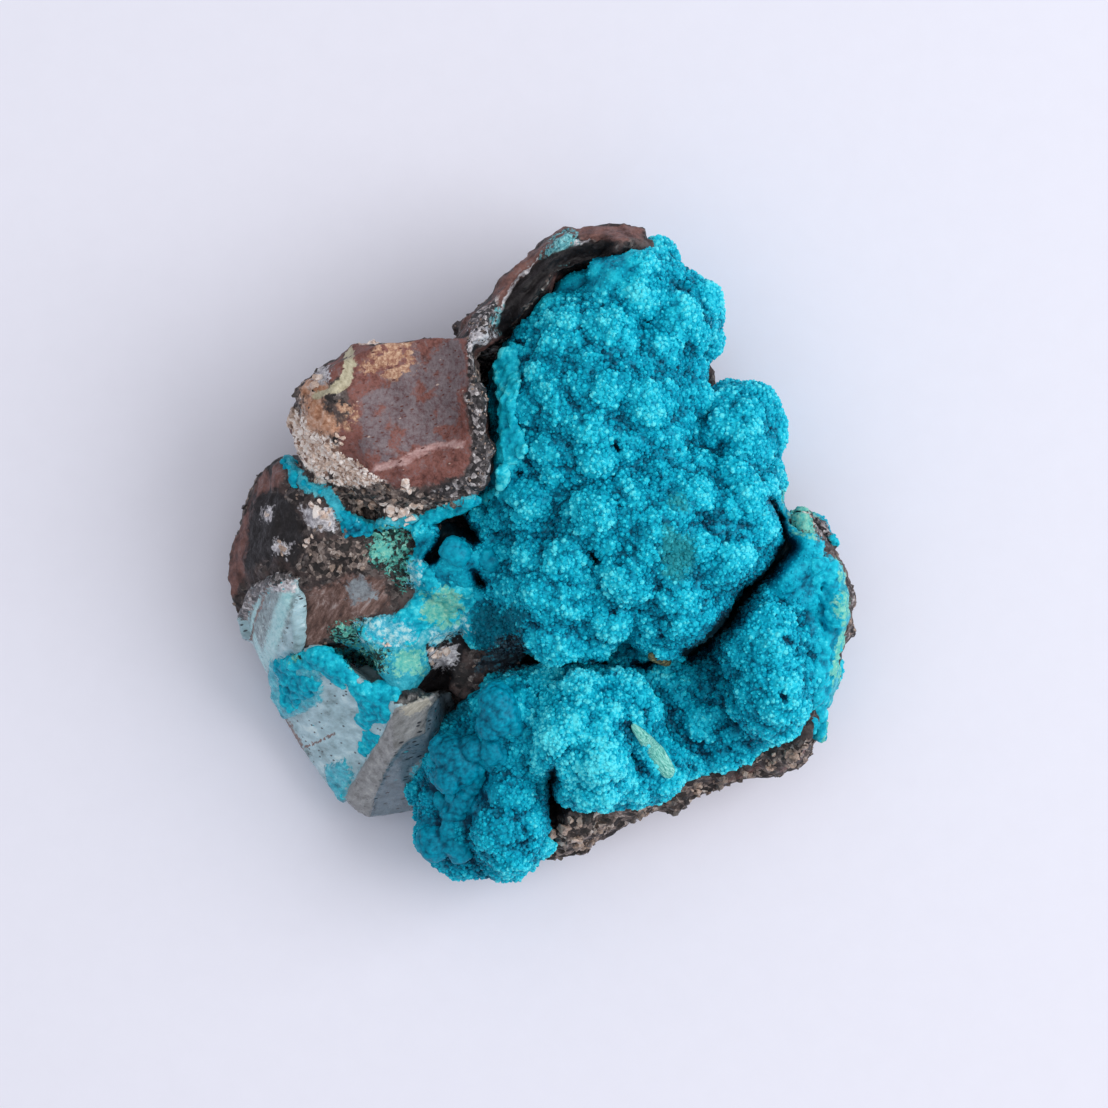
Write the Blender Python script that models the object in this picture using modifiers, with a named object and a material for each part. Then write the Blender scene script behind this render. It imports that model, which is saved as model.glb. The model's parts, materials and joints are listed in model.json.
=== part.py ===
"""Chrysocolla specimen: a broken lump of iron-stained host rock with a wedge of grey chalcedony on one
flank, overgrown by a thick grape-like crust of chrysocolla.

Run with:  blender --background --python part.py
Units in the tables are millimetres, and meshes are made in metres. +Z is up. The specimen rests on a flat
trimmed face at z = 0, and the origin is under the middle of the specimen.
"""

import math
import random

import bmesh
import bpy
from mathutils import Matrix, Vector, noise

MM = 0.001

# ---- driving dimensions, in millimetres -------------------------------------------------------------
FIT_GAP = 0.45            # clear gap kept between pieces that were cut to fit each other
SAW_LEVEL = 0.0           # the trimmed face that the specimen rests on
CRUST_LEVEL = 0.8         # the crust stops this far above the resting plane
ROCK_VOXEL = 0.42         # coarseness of the rock's skin before it is simplified
CRUST_VOXEL = 0.5         # the same for the crust
ROOM_VOXEL = 0.4          # the same for the room that one piece leaves for another
HOLLOW_VOXEL = 0.3        # the same for the hollows in the crust
WEDGE_VOXEL = 0.35        # the same for the chalcedony
ROCK_TRIANGLES = 2700
CRUST_TRIANGLES = 5200
WEDGE_TRIANGLES = 420
ROOM_TRIANGLES = 2800
CRUMBLE = 0.22            # height of the rock's finer grain
BED_FLOOR = 4.0           # rock above this level and near the crust's form is plain, as the crust's bed
BED_COVER = 1.0           # how far the bed reaches above the crust's form

# Chips broken out of the rock: their width, and how steeply they may tilt.
CHIPS = [(7.5, 0.14), (2.6, 0.25)]

# ---- host rock: convex blocks that broke along flat faces, as corner points (x, y, z) ----------------
ROCK_BLOCKS = {
    # tall block at the back left, whose top carries the shallow scoop
    "tall_block": [
        (-20.6, 19.2, 26.2), (-18.6, 20.6, 26.8), (-14.2, 21.4, 27.2), (-9.0, 21.8, 27.6),
        (-7.0, 20.4, 28.0), (-5.6, 16.6, 28.4), (-4.8, 11.8, 28.0), (-5.2, 7.6, 26.6),
        (-7.6, 6.4, 25.4), (-12.0, 5.6, 24.6), (-17.0, 7.0, 24.2), (-20.6, 10.4, 24.8),
        (-21.8, 14.4, 25.4), (-24.0, 16.6, 21.0), (-25.4, 12.4, 19.4), (-24.2, 8.9, 19.0),
        (-20.2, 5.6, 19.8), (-14.4, 2.8, 20.6), (-8.0, 4.0, 21.6),
        (-19.0, 17.0, 4.0), (-8.0, 18.0, 3.0), (-22.0, 10.0, 5.0), (-6.0, 5.0, 3.0), (-17.0, 3.0, 4.0),
    ],
    # narrow ledge that runs from the tall block round the back of the crust
    "back_ledge": [
        (-8.9, 22.0, 17.0), (-6.9, 23.8, 21.5), (-4.2, 26.4, 20.0), (-1.5, 29.8, 19.5),
        (0.3, 31.2, 19.5), (2.3, 32.0, 20.0), (-6.8, 21.4, 27.6), (-2.6, 26.0, 27.0),
        (0.8, 29.4, 26.2), (2.6, 30.4, 25.8), (-4.4, 20.4, 23.0), (-1.4, 24.4, 22.0), (1.6, 27.4, 21.0),
        (-6.0, 17.0, 4.0), (0.0, 26.5, 3.0), (-3.5, 25.0, 9.0), (0.8, 23.0, 5.0),
    ],
    "back_tip": [
        (0.3, 31.2, 19.5), (4.8, 32.6, 20.0), (7.8, 32.2, 20.0), (10.2, 31.6, 19.0), (12.9, 29.6, 18.0),
        (1.0, 29.5, 26.2), (4.8, 31.2, 25.8), (8.6, 31.0, 25.2), (3.8, 28.6, 21.0), (9.0, 29.0, 20.0),
        (2.0, 25.0, 3.0), (9.0, 27.0, 3.0), (10.0, 24.0, 3.0),
    ],
    # low shoulder in front of the tall block
    "shoulder": [
        (-28.0, 8.4, 9.0), (-26.2, 10.6, 12.5), (-30.2, 4.8, 8.0), (-31.7, -0.6, 7.0), (-31.9, -3.6, 6.8),
        (-31.0, -7.0, 6.0), (-28.2, -10.6, 7.0), (-26.2, 7.8, 17.2), (-27.4, 2.6, 16.0),
        (-25.4, -1.8, 17.4), (-20.8, 6.4, 20.4), (-16.8, 0.6, 20.6), (-17.4, -6.6, 19.4),
        (-21.8, -9.0, 16.8), (-24.8, -9.8, 14.2), (-25.5, 4.0, -1.0), (-26.5, -3.0, -1.0),
        (-22.0, -11.0, -1.0), (-12.0, -12.0, -1.0), (-12.0, 8.0, -1.0),
    ],
    # a broken slab that stands up from the shoulder
    "shoulder_slab": [
        (-25.6, 6.6, 18.4), (-22.0, 5.4, 21.4), (-19.2, 0.8, 21.2), (-23.2, -1.6, 18.6), (-26.8, 2.6, 15.4),
        (-24.6, 4.6, 10.0), (-18.4, 3.6, 12.0), (-20.0, -2.4, 12.0), (-25.6, 0.0, 9.0),
    ],
    # dark rock between the shoulder and the crust
    "saddle": [
        (-18.0, 2.0, 20.4), (-12.5, 4.6, 20.4), (-8.0, 3.0, 19.0), (-6.5, -5.0, 18.0), (-9.8, -7.0, 18.0),
        (-14.2, -13.4, 17.2), (-17.4, -8.0, 18.8), (-18.0, 4.0, 0.0), (-4.0, 3.0, 0.0), (-4.0, -10.0, 0.0),
        (-10.0, -18.0, 0.0), (-18.0, -14.0, 0.0),
    ],
    # the low step between the saddle and the lower dome of the crust
    "low_step": [
        (-9.8, -7.4, 16.6), (-3.4, -6.6, 15.4), (-1.2, -9.4, 13.6), (-5.0, -13.4, 13.0), (-9.6, -14.4, 13.6),
        (-9.0, -6.0, 2.0), (0.0, -6.0, 2.0), (0.0, -12.0, 2.0), (-8.0, -17.0, 1.0),
    ],
    # the bed under the crust
    "core": [
        (-2.0, 25.0, 9.0), (10.0, 27.0, 10.0), (15.2, 24.0, 9.0), (21.0, 12.0, 9.0), (25.0, 3.0, 9.0),
        (-10.0, 14.0, 9.0), (-8.0, -16.0, 9.0), (-2.0, -25.0, 7.0), (8.0, -25.0, 8.0), (20.0, -19.0, 8.0),
        (27.0, -10.0, 9.0), (0.0, 20.0, -1.5), (12.0, 19.0, -1.5), (20.0, 0.0, -1.5), (20.0, -12.0, -1.5),
        (10.0, -19.0, -1.5), (-6.0, -18.0, -1.5), (-18.0, 8.0, -1.5), (-20.0, -6.0, -1.5),
        (-10.0, 14.0, -1.5),
    ],
    # upright rim on the right, behind the long lump of crust
    "right_rim": [
        (26.1, 5.0, 14.0), (28.6, 1.8, 14.0), (30.0, -0.6, 13.0), (31.7, -4.6, 12.0), (31.1, -8.0, 11.0),
        (29.6, -11.6, 10.5), (28.9, -14.6, 10.0), (25.6, 3.4, 18.0), (28.0, -0.6, 18.6),
        (30.0, -4.4, 17.6), (29.6, -7.8, 16.6), (28.2, -13.0, 14.5), (24.0, 0.0, 1.0), (27.5, -4.0, 1.5),
        (25.0, -13.0, 1.0), (19.0, -4.0, 0.0),
    ],
    "right_corner": [
        (28.8, -14.0, 10.0), (27.9, -18.6, 9.0), (27.4, -21.0, 8.5), (24.4, -22.8, 8.0), (20.8, -22.3, 8.0),
        (27.5, -13.6, 14.0), (26.6, -18.0, 13.6), (24.8, -21.0, 13.0), (21.2, -20.2, 11.6),
        (24.5, -14.0, 1.0), (22.0, -18.0, 0.5), (16.0, -16.0, 0.0),
    ],
    # granular ledge along the front
    "front_ledge": [
        (-1.4, -31.0, 6.0), (0.9, -30.8, 6.5), (5.4, -29.8, 7.5), (9.9, -27.9, 8.0), (12.6, -25.8, 9.0),
        (-1.6, -26.8, 12.0), (1.4, -27.4, 13.0), (5.8, -26.6, 13.0), (10.4, -24.8, 12.4),
        (-4.0, -24.0, 1.5), (2.0, -26.0, 1.0), (8.0, -23.0, 0.5), (2.0, -18.0, 0.0),
    ],
    "front_rim": [
        (9.0, -27.8, 8.0), (13.9, -24.9, 8.0), (15.8, -25.0, 8.5), (18.6, -23.8, 8.5), (21.0, -22.4, 8.5),
        (12.0, -23.8, 12.2), (16.4, -22.4, 12.0), (21.0, -21.0, 11.4), (8.0, -22.0, 1.0),
        (18.0, -18.0, 0.5), (12.0, -16.0, 0.0),
    ],
}

# the scooped face on the tall block: shallow lens-shaped hollows that run together, as (centre, radii)
SCOOPS = [
    ((-12.2, 18.4, 32.4), (6.6, 7.6, 7.8)),
    ((-14.6, 15.4, 31.9), (6.6, 6.4, 7.6)),
    ((-11.8, 12.4, 32.0), (6.2, 5.6, 7.6)),
]

# ---- chalcedony wedge on the lower left flank ----------------------------------------------------------
CHALCEDONY_BLOCKS = {
    "side_facet": [
        (-30.4, -5.8, 7.2), (-29.7, -8.4, 6.4), (-27.6, -12.6, 6.6), (-28.4, -3.0, 12.6),
        (-26.4, -2.2, 17.0), (-24.4, -2.4, 18.0), (-26.6, -9.8, 12.8), (-24.2, -8.8, 16.2),
        (-24.0, -6.0, 5.0), (-24.0, -10.0, 3.0),
    ],
    "broad_facet": [
        (-27.7, -13.2, 6.8), (-26.2, -16.2, 5.4), (-24.6, -19.4, 4.8), (-22.3, -22.8, 4.2),
        (-20.6, -25.2, 3.8), (-26.0, -10.8, 12.0), (-22.2, -9.6, 17.0), (-18.2, -12.4, 17.6),
        (-14.8, -14.8, 17.0), (-16.6, -18.6, 12.8), (-22.0, -14.0, 1.0), (-18.0, -20.0, 1.0),
        (-14.0, -14.0, 3.0),
    ],
    "prism": [
        (-14.8, -14.6, 18.0), (-10.6, -13.7, 16.8), (-11.4, -18.4, 14.6), (-14.6, -19.5, 14.4),
        (-20.0, -25.2, 4.8), (-17.8, -26.9, 4.2), (-14.2, -26.1, 3.4), (-12.1, -25.9, 3.4),
        (-9.8, -21.4, 7.6), (-16.0, -18.0, 1.0), (-9.0, -15.0, 4.0), (-13.0, -21.0, 1.0),
    ],
}

# ---- chrysocolla crust: broad swellings, as (centre, radii) ----------------------------------------------
SWELLINGS = [
    # the main mass
    ((5.6, 14.0, 16.2), (10.4, 13.6, 13.2)),
    ((10.4, 2.6, 16.4), (11.6, 8.8, 13.6)),
    ((2.6, -2.4, 15.4), (7.8, 7.4, 12.2)),
    ((8.8, 26.0, 15.0), (5.2, 4.6, 12.0)),
    ((12.8, 23.4, 14.4), (4.2, 4.0, 11.8)),
    ((19.2, 11.8, 13.2), (4.2, 4.4, 11.8)),
    ((18.6, 4.2, 14.4), (4.8, 5.6, 12.8)),
    ((-0.8, 6.6, 14.4), (5.4, 8.4, 11.0)),
    ((13.2, -4.6, 14.4), (5.6, 4.8, 12.0)),
    # the lower dome and the grape-like foot beside it
    ((4.8, -18.2, 13.2), (6.8, 6.6, 11.2)),
    ((10.4, -21.0, 11.0), (3.6, 3.4, 7.0)),
    ((-2.6, -16.8, 11.5), (4.6, 5.0, 8.6)),
    ((-3.6, -25.4, 9.8), (4.2, 6.4, 8.0)),
    ((-8.4, -20.8, 9.0), (3.6, 4.2, 6.4)),
    ((-8.6, -27.0, 8.0), (3.2, 4.4, 5.4)),
    # the long lump on the right, and the bank that it leans on
    ((22.0, -8.6, 12.2), (3.9, 5.4, 9.8)),
    ((23.0, -13.2, 11.8), (3.9, 5.0, 9.4)),
    ((25.6, -1.8, 11.0), (3.8, 5.8, 8.2)),
    ((27.0, -8.6, 10.0), (2.8, 7.2, 7.2)),
    # the floor of the basin between the lobes
    ((16.6, -15.4, 7.4), (11.0, 7.6, 5.4)),
    ((10.8, -10.0, 7.4), (8.4, 6.0, 5.6)),
    # the thin sheet on the rock left of the main mass
    ((-8.0, 0.2, 14.8), (6.6, 6.0, 7.6)),
    ((-4.2, -5.8, 13.4), (5.2, 3.8, 6.4)),
]

# ---- single knobs that stand out on the crust: (x, y, radius, rise), rise being how far the knob's
# centre lies above the swelling's surface ---------------------------------------------------------------
KNOBS = [
    # back of the main mass
    (11.2, 29.6, 1.9, -1.2), (9.4, 28.0, 1.7, -0.8), (6.3, 27.8, 1.8, -0.8), (3.2, 26.2, 1.6, -0.7),
    (5.6, 25.0, 1.4, -0.6), (9.6, 25.2, 1.8, -0.7), (15.4, 25.0, 1.9, -1.2), (13.6, 26.4, 1.5, -0.7),
    (6.9, 21.4, 2.4, -0.3), (2.9, 22.4, 1.8, -0.5), (0.8, 24.2, 1.5, -0.7), (1.4, 20.2, 1.5, -0.6),
    (11.0, 20.2, 2.0, -0.5), (14.6, 21.6, 1.7, -0.8), (16.2, 21.4, 1.6, -1.4), (16.4, 18.4, 1.5, -1.4),
    (14.2, 18.4, 1.6, -0.8), (5.7, 15.8, 1.9, -0.5), (3.2, 16.8, 1.3, -0.4), (0.2, 17.4, 1.5, -0.6),
    (9.9, 14.6, 2.3, -0.3), (14.6, 15.2, 1.6, -0.6), (16.2, 15.6, 1.5, -1.0), (-2.4, 18.2, 1.7, -0.9),
    (-2.6, 15.8, 1.5, -0.6), (1.8, 14.2, 1.5, -0.6), (-0.8, 14.2, 1.5, -0.5), (21.2, 14.4, 2.2, -0.9),
    (22.4, 12.2, 1.6, -1.2), (20.1, 10.2, 1.8, -0.7), (22.4, 8.4, 1.7, -1.2), (23.4, 7.0, 1.3, -1.4),
    # middle of the main mass
    (-2.4, 9.9, 2.2, 0.2), (0.9, 10.2, 1.7, -0.4), (4.8, 12.2, 1.8, -0.5), (5.2, 9.7, 1.8, -0.5),
    (1.6, 8.2, 1.5, -0.5), (12.1, 11.2, 1.8, -0.5), (14.6, 11.2, 1.7, -0.5), (11.7, 8.2, 1.7, -0.5),
    (15.6, 8.2, 1.7, -0.5), (18.6, 7.2, 1.7, -0.5), (-0.9, 5.2, 2.1, -0.5), (-0.4, 2.6, 2.1, -0.5),
    (5.7, 3.8, 2.5, -0.4), (11.2, 2.8, 1.9, -0.5), (7.7, 6.2, 1.5, -0.5), (14.6, 5.2, 1.9, -0.5),
    (17.6, 4.2, 1.9, -0.5), (20.1, 5.2, 1.9, -0.5), (21.2, 3.0, 1.7, -0.5), (22.4, 1.3, 1.8, -0.8),
    (20.6, -0.9, 1.6, -0.8), (17.6, -0.4, 2.7, -0.4), (14.6, 0.8, 1.7, -0.5), (2.2, -0.6, 1.9, -0.4),
    (4.2, 0.9, 1.5, -0.4), (8.7, -2.0, 2.6, -0.4), (13.4, -3.6, 2.3, -0.4), (6.6, -5.6, 2.5, -0.3),
    (1.3, -8.0, 2.7, -0.9), (4.8, -8.8, 1.8, -1.0), (7.8, -8.4, 1.9, -1.2), (12.0, -8.4, 1.8, -1.4),
    (15.6, -6.4, 1.8, -0.8), (17.0, -5.2, 1.5, -0.8), (-0.2, -3.6, 1.7, -0.5), (-1.2, -0.6, 1.6, -0.4),
    # lower dome and foot
    (8.0, -13.8, 2.2, -0.6), (3.8, -13.6, 1.9, -0.6), (0.6, -13.6, 2.0, -0.6), (1.8, -17.6, 2.0, -0.3),
    (5.8, -20.6, 2.0, -0.3), (5.4, -23.2, 1.9, -0.6), (9.8, -15.8, 1.6, -0.6), (-3.9, -15.7, 2.3, 0.0),
    (-8.6, -21.0, 2.8, -0.7), (-4.8, -19.7, 1.7, 0.2), (-2.0, -20.4, 1.7, 0.1), (-3.4, -23.6, 2.1, -0.2),
    (-7.2, -24.0, 1.5, 0.0), (-7.9, -25.8, 1.4, 0.2), (-8.4, -27.4, 1.3, 0.0), (-4.4, -27.4, 2.3, -0.5),
    (-3.2, -29.6, 2.0, -0.8), (-6.6, -30.2, 1.9, -0.4), (-10.7, -28.2, 1.9, -0.1), (-10.2, -24.8, 1.7, -0.2),
    (-8.4, -31.0, 1.5, -0.8), (-1.8, -26.4, 1.6, -0.6), (-0.4, -29.0, 1.5, -1.2), (-12.4, -24.0, 1.2, -1.0),
    (12.2, -22.2, 1.6, -0.8), (9.4, -22.8, 1.5, -0.6),
    # the bank on the right and the floor of the basin
    (24.4, -2.2, 1.7, -0.2), (22.6, -3.6, 1.5, -0.2), (26.6, -1.2, 1.5, -0.6), (13.8, -13.8, 1.7, -0.5),
    (15.8, -16.8, 1.9, -0.5), (19.8, -17.8, 1.7, -0.4), (21.8, -18.8, 1.7, -0.4), (14.8, -20.8, 1.7, -0.5),
    (18.8, -20.6, 1.5, -0.4), (12.4, -12.8, 1.4, -0.4),
    # on the thin sheet
    (-8.7, -0.2, 1.5, -0.3), (-4.2, -0.6, 1.5, -0.3), (-11.2, 2.6, 1.7, -0.5), (-10.6, -2.8, 1.3, -0.4),
]

# ---- hollows between and in the lobes: (x, y, z, half length, half width, half height, turn in degrees) ----
HOLLOWS = [
    # the cleft that parts the main mass from the right lump and the lower dome
    (23.4, 3.2, 24.0, 3.4, 0.6, 9.0, -62), (22.8, -1.6, 21.0, 3.4, 0.65, 9.0, 42),
    (19.4, -5.4, 20.0, 3.4, 0.8, 9.0, 58), (16.4, -8.7, 18.0, 3.2, 1.0, 7.0, 41),
    (11.0, -10.7, 17.4, 4.4, 0.9, 6.4, 6), (4.6, -11.0, 18.0, 4.4, 0.6, 6.4, -4),
    # the holes in the thin sheet
    (-7.2, 2.7, 21.5, 2.1, 1.3, 4.0, -20), (-10.0, 0.6, 21.0, 1.5, 0.5, 3.0, 60),
    (-6.2, -2.7, 20.5, 0.9, 0.8, 3.0, 0),
    # single pits
    (7.5, 10.4, 30.4, 0.9, 0.6, 1.6, 30), (5.3, -0.1, 29.4, 0.9, 0.6, 1.8, 60),
    (-2.2, 7.9, 24.4, 0.9, 0.6, 2.0, 80), (-2.4, 20.9, 25.4, 1.1, 0.7, 2.6, 60),
    (6.8, -6.0, 27.4, 0.8, 0.6, 1.6, 10), (-2.6, -16.9, 21.0, 0.7, 0.5, 1.6, 30),
    # the slit between the lower dome and the foot, and the hollow in the dome's right side
    (1.0, -23.6, 17.0, 3.6, 0.8, 8.0, 86), (8.8, -20.2, 20.6, 3.0, 0.9, 3.8, -74),
]

KNOB_SEED = 7
SCATTER_SPACING = 3.1     # distance between the small knobs that cover what the list above leaves bare
SCATTER_RADIUS = (1.3, 1.95)
SCATTER_SINK = 0.55       # share of its radius by which a scattered knob is sunk
SCATTER_BURIED = 0.93     # a scattered knob that lies deeper in another swelling than this is left out
SCATTER_APART = 0.95      # share of a knob's radius that its neighbours' centres keep clear
BARE_KNOB_LEVEL = 9.0     # level for a listed knob that stands beside every swelling


# ---- helpers -------------------------------------------------------------------------------------------
def clear_scene():
    for old in list(bpy.data.objects):
        bpy.data.objects.remove(old)


def collection_named(name):
    made = bpy.data.collections.new(name)
    bpy.context.scene.collection.children.link(made)
    return made


def linked(name, mesh, collection):
    made = bpy.data.objects.new(name, mesh)
    collection.objects.link(made)
    return made


def evaluated_copy(source, name, collection):
    """A new object that holds the source's mesh as its modifiers leave it. The source is removed."""
    bpy.context.view_layer.update()
    graph = bpy.context.evaluated_depsgraph_get()
    mesh = bpy.data.meshes.new_from_object(source.evaluated_get(graph))
    bpy.data.objects.remove(source)
    mesh.name = name
    return linked(name, mesh, collection)


def hull_mesh(name, blocks):
    """One mesh that holds the convex hull of each block's corner points."""
    whole = bmesh.new()
    for corners in blocks.values():
        block = bmesh.new()
        for corner in corners:
            block.verts.new(Vector(corner) * MM)
        made = bmesh.ops.convex_hull(block, input=block.verts)
        spare = {v for v in made["geom_interior"] + made["geom_unused"] if isinstance(v, bmesh.types.BMVert)}
        bmesh.ops.delete(block, geom=list(spare), context="VERTS")
        piece = bpy.data.meshes.new("block")
        block.to_mesh(piece)
        block.free()
        whole.from_mesh(piece)
        bpy.data.meshes.remove(piece)
    mesh = bpy.data.meshes.new(name)
    whole.to_mesh(mesh)
    whole.free()
    return mesh


def add_voxel_union(obj, voxel):
    """Joins overlapping shapes of one mesh into a single skin."""
    remesh = obj.modifiers.new("union", "REMESH")
    remesh.mode = "VOXEL"
    remesh.voxel_size = voxel * MM
    remesh.adaptivity = 0.0


def add_decimate(obj, triangles):
    mesh_faces = sum(len(face.vertices) - 2 for face in obj.data.polygons)
    decimate = obj.modifiers.new("simplify", "DECIMATE")
    decimate.ratio = min(1.0, triangles / mesh_faces)
    decimate.use_collapse_triangulate = True


def add_cut(obj, cutter):
    cut = obj.modifiers.new("cut by " + cutter.name, "BOOLEAN")
    cut.operation = "DIFFERENCE"
    cut.solver = "EXACT"
    cut.object = cutter


def grown(source, name, distance, collection):
    """A helper copy of the source, swollen along its normals, that cuts room for it and for a gap."""
    graph = bpy.context.evaluated_depsgraph_get()
    mesh = bpy.data.meshes.new_from_object(source.evaluated_get(graph))
    made = linked(name, mesh, collection)
    swell = made.modifiers.new("gap", "DISPLACE")
    swell.mid_level = 0.0
    swell.strength = distance * MM
    add_voxel_union(made, ROOM_VOXEL)
    made = evaluated_copy(made, name, collection)
    add_decimate(made, ROOM_TRIANGLES)
    return as_cutter(evaluated_copy(made, name, collection))


def ellipsoid(bm, centre, radii, subdivisions, turn=0.0):
    place = Matrix.Translation(Vector(centre) * MM) @ Matrix.Rotation(math.radians(turn), 4, "Z")
    shape = Matrix.Diagonal((*(Vector(radii) * MM), 1.0))
    bmesh.ops.create_icosphere(bm, subdivisions=subdivisions, radius=1.0, matrix=place @ shape)


def ellipsoids_object(name, rows, subdivisions, collection):
    """One object that holds an ellipsoid for each row of (centre, radii, turn)."""
    bm = bmesh.new()
    for centre, radii, turn in rows:
        ellipsoid(bm, centre, radii, subdivisions, turn)
    mesh = bpy.data.meshes.new(name)
    bm.to_mesh(mesh)
    bm.free()
    return linked(name, mesh, collection)


def as_cutter(obj):
    obj.hide_render = True
    obj.display_type = "WIRE"
    return obj


def keep_main_body(obj):
    """Drops the crumbs that a cut left loose."""
    bm = bmesh.new()
    bm.from_mesh(obj.data)
    unseen = set(bm.verts)
    bodies = []
    while unseen:
        body, edge_of_body = set(), [unseen.pop()]
        while edge_of_body:
            vertex = edge_of_body.pop()
            body.add(vertex)
            for edge in vertex.link_edges:
                other = edge.other_vert(vertex)
                if other in unseen:
                    unseen.remove(other)
                    edge_of_body.append(other)
        bodies.append(body)
    bodies.sort(key=len)
    for body in bodies[:-1]:
        bmesh.ops.delete(bm, geom=list(body), context="VERTS")
    bm.to_mesh(obj.data)
    bm.free()


def join_meshes(obj, other):
    """Adds the other object's mesh to this one's and removes the other."""
    bm = bmesh.new()
    bm.from_mesh(obj.data)
    bm.from_mesh(other.data)
    bm.to_mesh(obj.data)
    bm.free()
    bpy.data.objects.remove(other)


def saw_flat(obj, level):
    """Cuts the object off flat below this height and closes the cut."""
    bm = bmesh.new()
    bm.from_mesh(obj.data)
    everything = bm.verts[:] + bm.edges[:] + bm.faces[:]
    made = bmesh.ops.bisect_plane(
        bm, geom=everything, dist=1e-7, plane_co=(0, 0, level * MM), plane_no=(0, 0, -1), clear_outer=True
    )
    rim = [e for e in made["geom_cut"] if isinstance(e, bmesh.types.BMEdge)]
    bmesh.ops.triangle_fill(bm, use_beauty=True, use_dissolve=False, edges=rim)
    bmesh.ops.recalc_face_normals(bm, faces=bm.faces)
    bm.to_mesh(obj.data)
    bm.free()


def material(name, colour, roughness):
    made = bpy.data.materials.new(name)
    made.use_nodes = True
    shader = made.node_tree.nodes["Principled BSDF"]
    shader.inputs["Base Color"].default_value = (*colour, 1.0)
    shader.inputs["Roughness"].default_value = roughness
    shader.inputs["Metallic"].default_value = 0.0
    return made


# ---- the crust's form -------------------------------------------------------------------------------------
def surface_height(x, y):
    """Top of the swellings over a point, or None beside them."""
    tops = []
    for centre, radii in SWELLINGS:
        inside = 1 - ((x - centre[0]) / radii[0]) ** 2 - ((y - centre[1]) / radii[1]) ** 2
        if inside > 0:
            tops.append(centre[2] + radii[2] * math.sqrt(inside))
    return max(tops, default=None)


def depth_in(point, swelling):
    """Below 1 inside the swelling, 1 on its surface."""
    centre, radii = swelling
    return math.sqrt(sum(((p - c) / r) ** 2 for p, c, r in zip(point, centre, radii)))


def named_knobs():
    placed = []
    for x, y, radius, rise in KNOBS:
        height = surface_height(x, y)
        if height is None:
            height = BARE_KNOB_LEVEL
        placed.append((Vector((x, y, height + rise)), radius))
    return placed


def scattered_knobs(taken):
    """Small knobs in a spiral over every swelling, where no other knob stands."""
    chance = random.Random(KNOB_SEED)
    golden_angle = math.pi * (3 - math.sqrt(5))
    placed = []
    for swelling in SWELLINGS:
        centre, radii = swelling
        area = 4 * math.pi * ((radii[0] * radii[1] + radii[0] * radii[2] + radii[1] * radii[2]) / 3)
        count = int(area / SCATTER_SPACING**2)
        for i in range(count):
            up = 1 - 2 * (i + 0.5) / count
            turn = golden_angle * i + chance.uniform(-0.2, 0.2)
            flat = math.sqrt(1 - up * up)
            radius = chance.uniform(*SCATTER_RADIUS)
            shell = Vector((flat * math.cos(turn), flat * math.sin(turn), up))
            point = Vector(c + r * s for c, r, s in zip(centre, radii, shell))
            point -= shell * radius * SCATTER_SINK
            if any(depth_in(point, other) < SCATTER_BURIED for other in SWELLINGS if other is not swelling):
                continue
            if any((point - where).length < SCATTER_APART * reach for where, reach in taken + placed):
                continue
            placed.append((point, radius))
    return placed


def build_crust(parts, helpers):
    knobs = named_knobs()
    knobs += scattered_knobs(knobs)
    swellings = [(centre, radii, 0.0) for centre, radii in SWELLINGS]
    round_knobs = [(centre, (radius, radius, radius), 0.0) for centre, radius in knobs]
    form = ellipsoids_object("crust form", swellings, 4, helpers)
    knob_form = as_cutter(ellipsoids_object("knob form", round_knobs, 2, helpers))
    join_meshes(form, knob_form)
    add_voxel_union(form, CRUST_VOXEL)
    form = evaluated_copy(form, "crust form", helpers)
    hollows = [((x, y, z), (long, wide, high), turn) for x, y, z, long, wide, high, turn in HOLLOWS]
    hollow_form = ellipsoids_object("hollow form", hollows, 3, helpers)
    add_voxel_union(hollow_form, HOLLOW_VOXEL)
    hollow_form = as_cutter(evaluated_copy(hollow_form, "hollow form", helpers))
    add_cut(form, hollow_form)
    add_voxel_union(form, CRUST_VOXEL)
    form = evaluated_copy(form, "crust form", helpers)
    add_decimate(form, CRUST_TRIANGLES)
    form = evaluated_copy(form, "chrysocolla_crust", parts)
    saw_flat(form, CRUST_LEVEL)
    return form


# ---- the rock and the chalcedony --------------------------------------------------------------------------
def in_crust_bed(x, y, z):
    """True where the rock is covered by the crust, so that its face there stays plain."""
    height = surface_height(x, y)
    if height is None or not BED_FLOOR < z < height + BED_COVER:
        return False
    return any(depth_in((x, y, z), swelling) < 1.0 for swelling in SWELLINGS)


def roughen(obj):
    """Chips broken out of the rock's open faces, with a finer crumble on them."""
    mesh = obj.data
    moved = []
    for vertex in mesh.vertices:
        place = vertex.co / MM
        if in_crust_bed(*place):
            moved.append(vertex.co.copy())
            continue
        rise = noise.noise(place * 0.9) * CRUMBLE
        for width, tilt in CHIPS:
            centre = noise.voronoi(place / width)[1][0]
            slope = (noise.cell_vector(centre) * 2 - Vector((1, 1, 1))) * tilt
            rise += slope.dot(place - centre * width)
        moved.append(vertex.co + vertex.normal * rise * MM)
    for vertex, place in zip(mesh.vertices, moved):
        vertex.co = place
    mesh.update()


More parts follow.
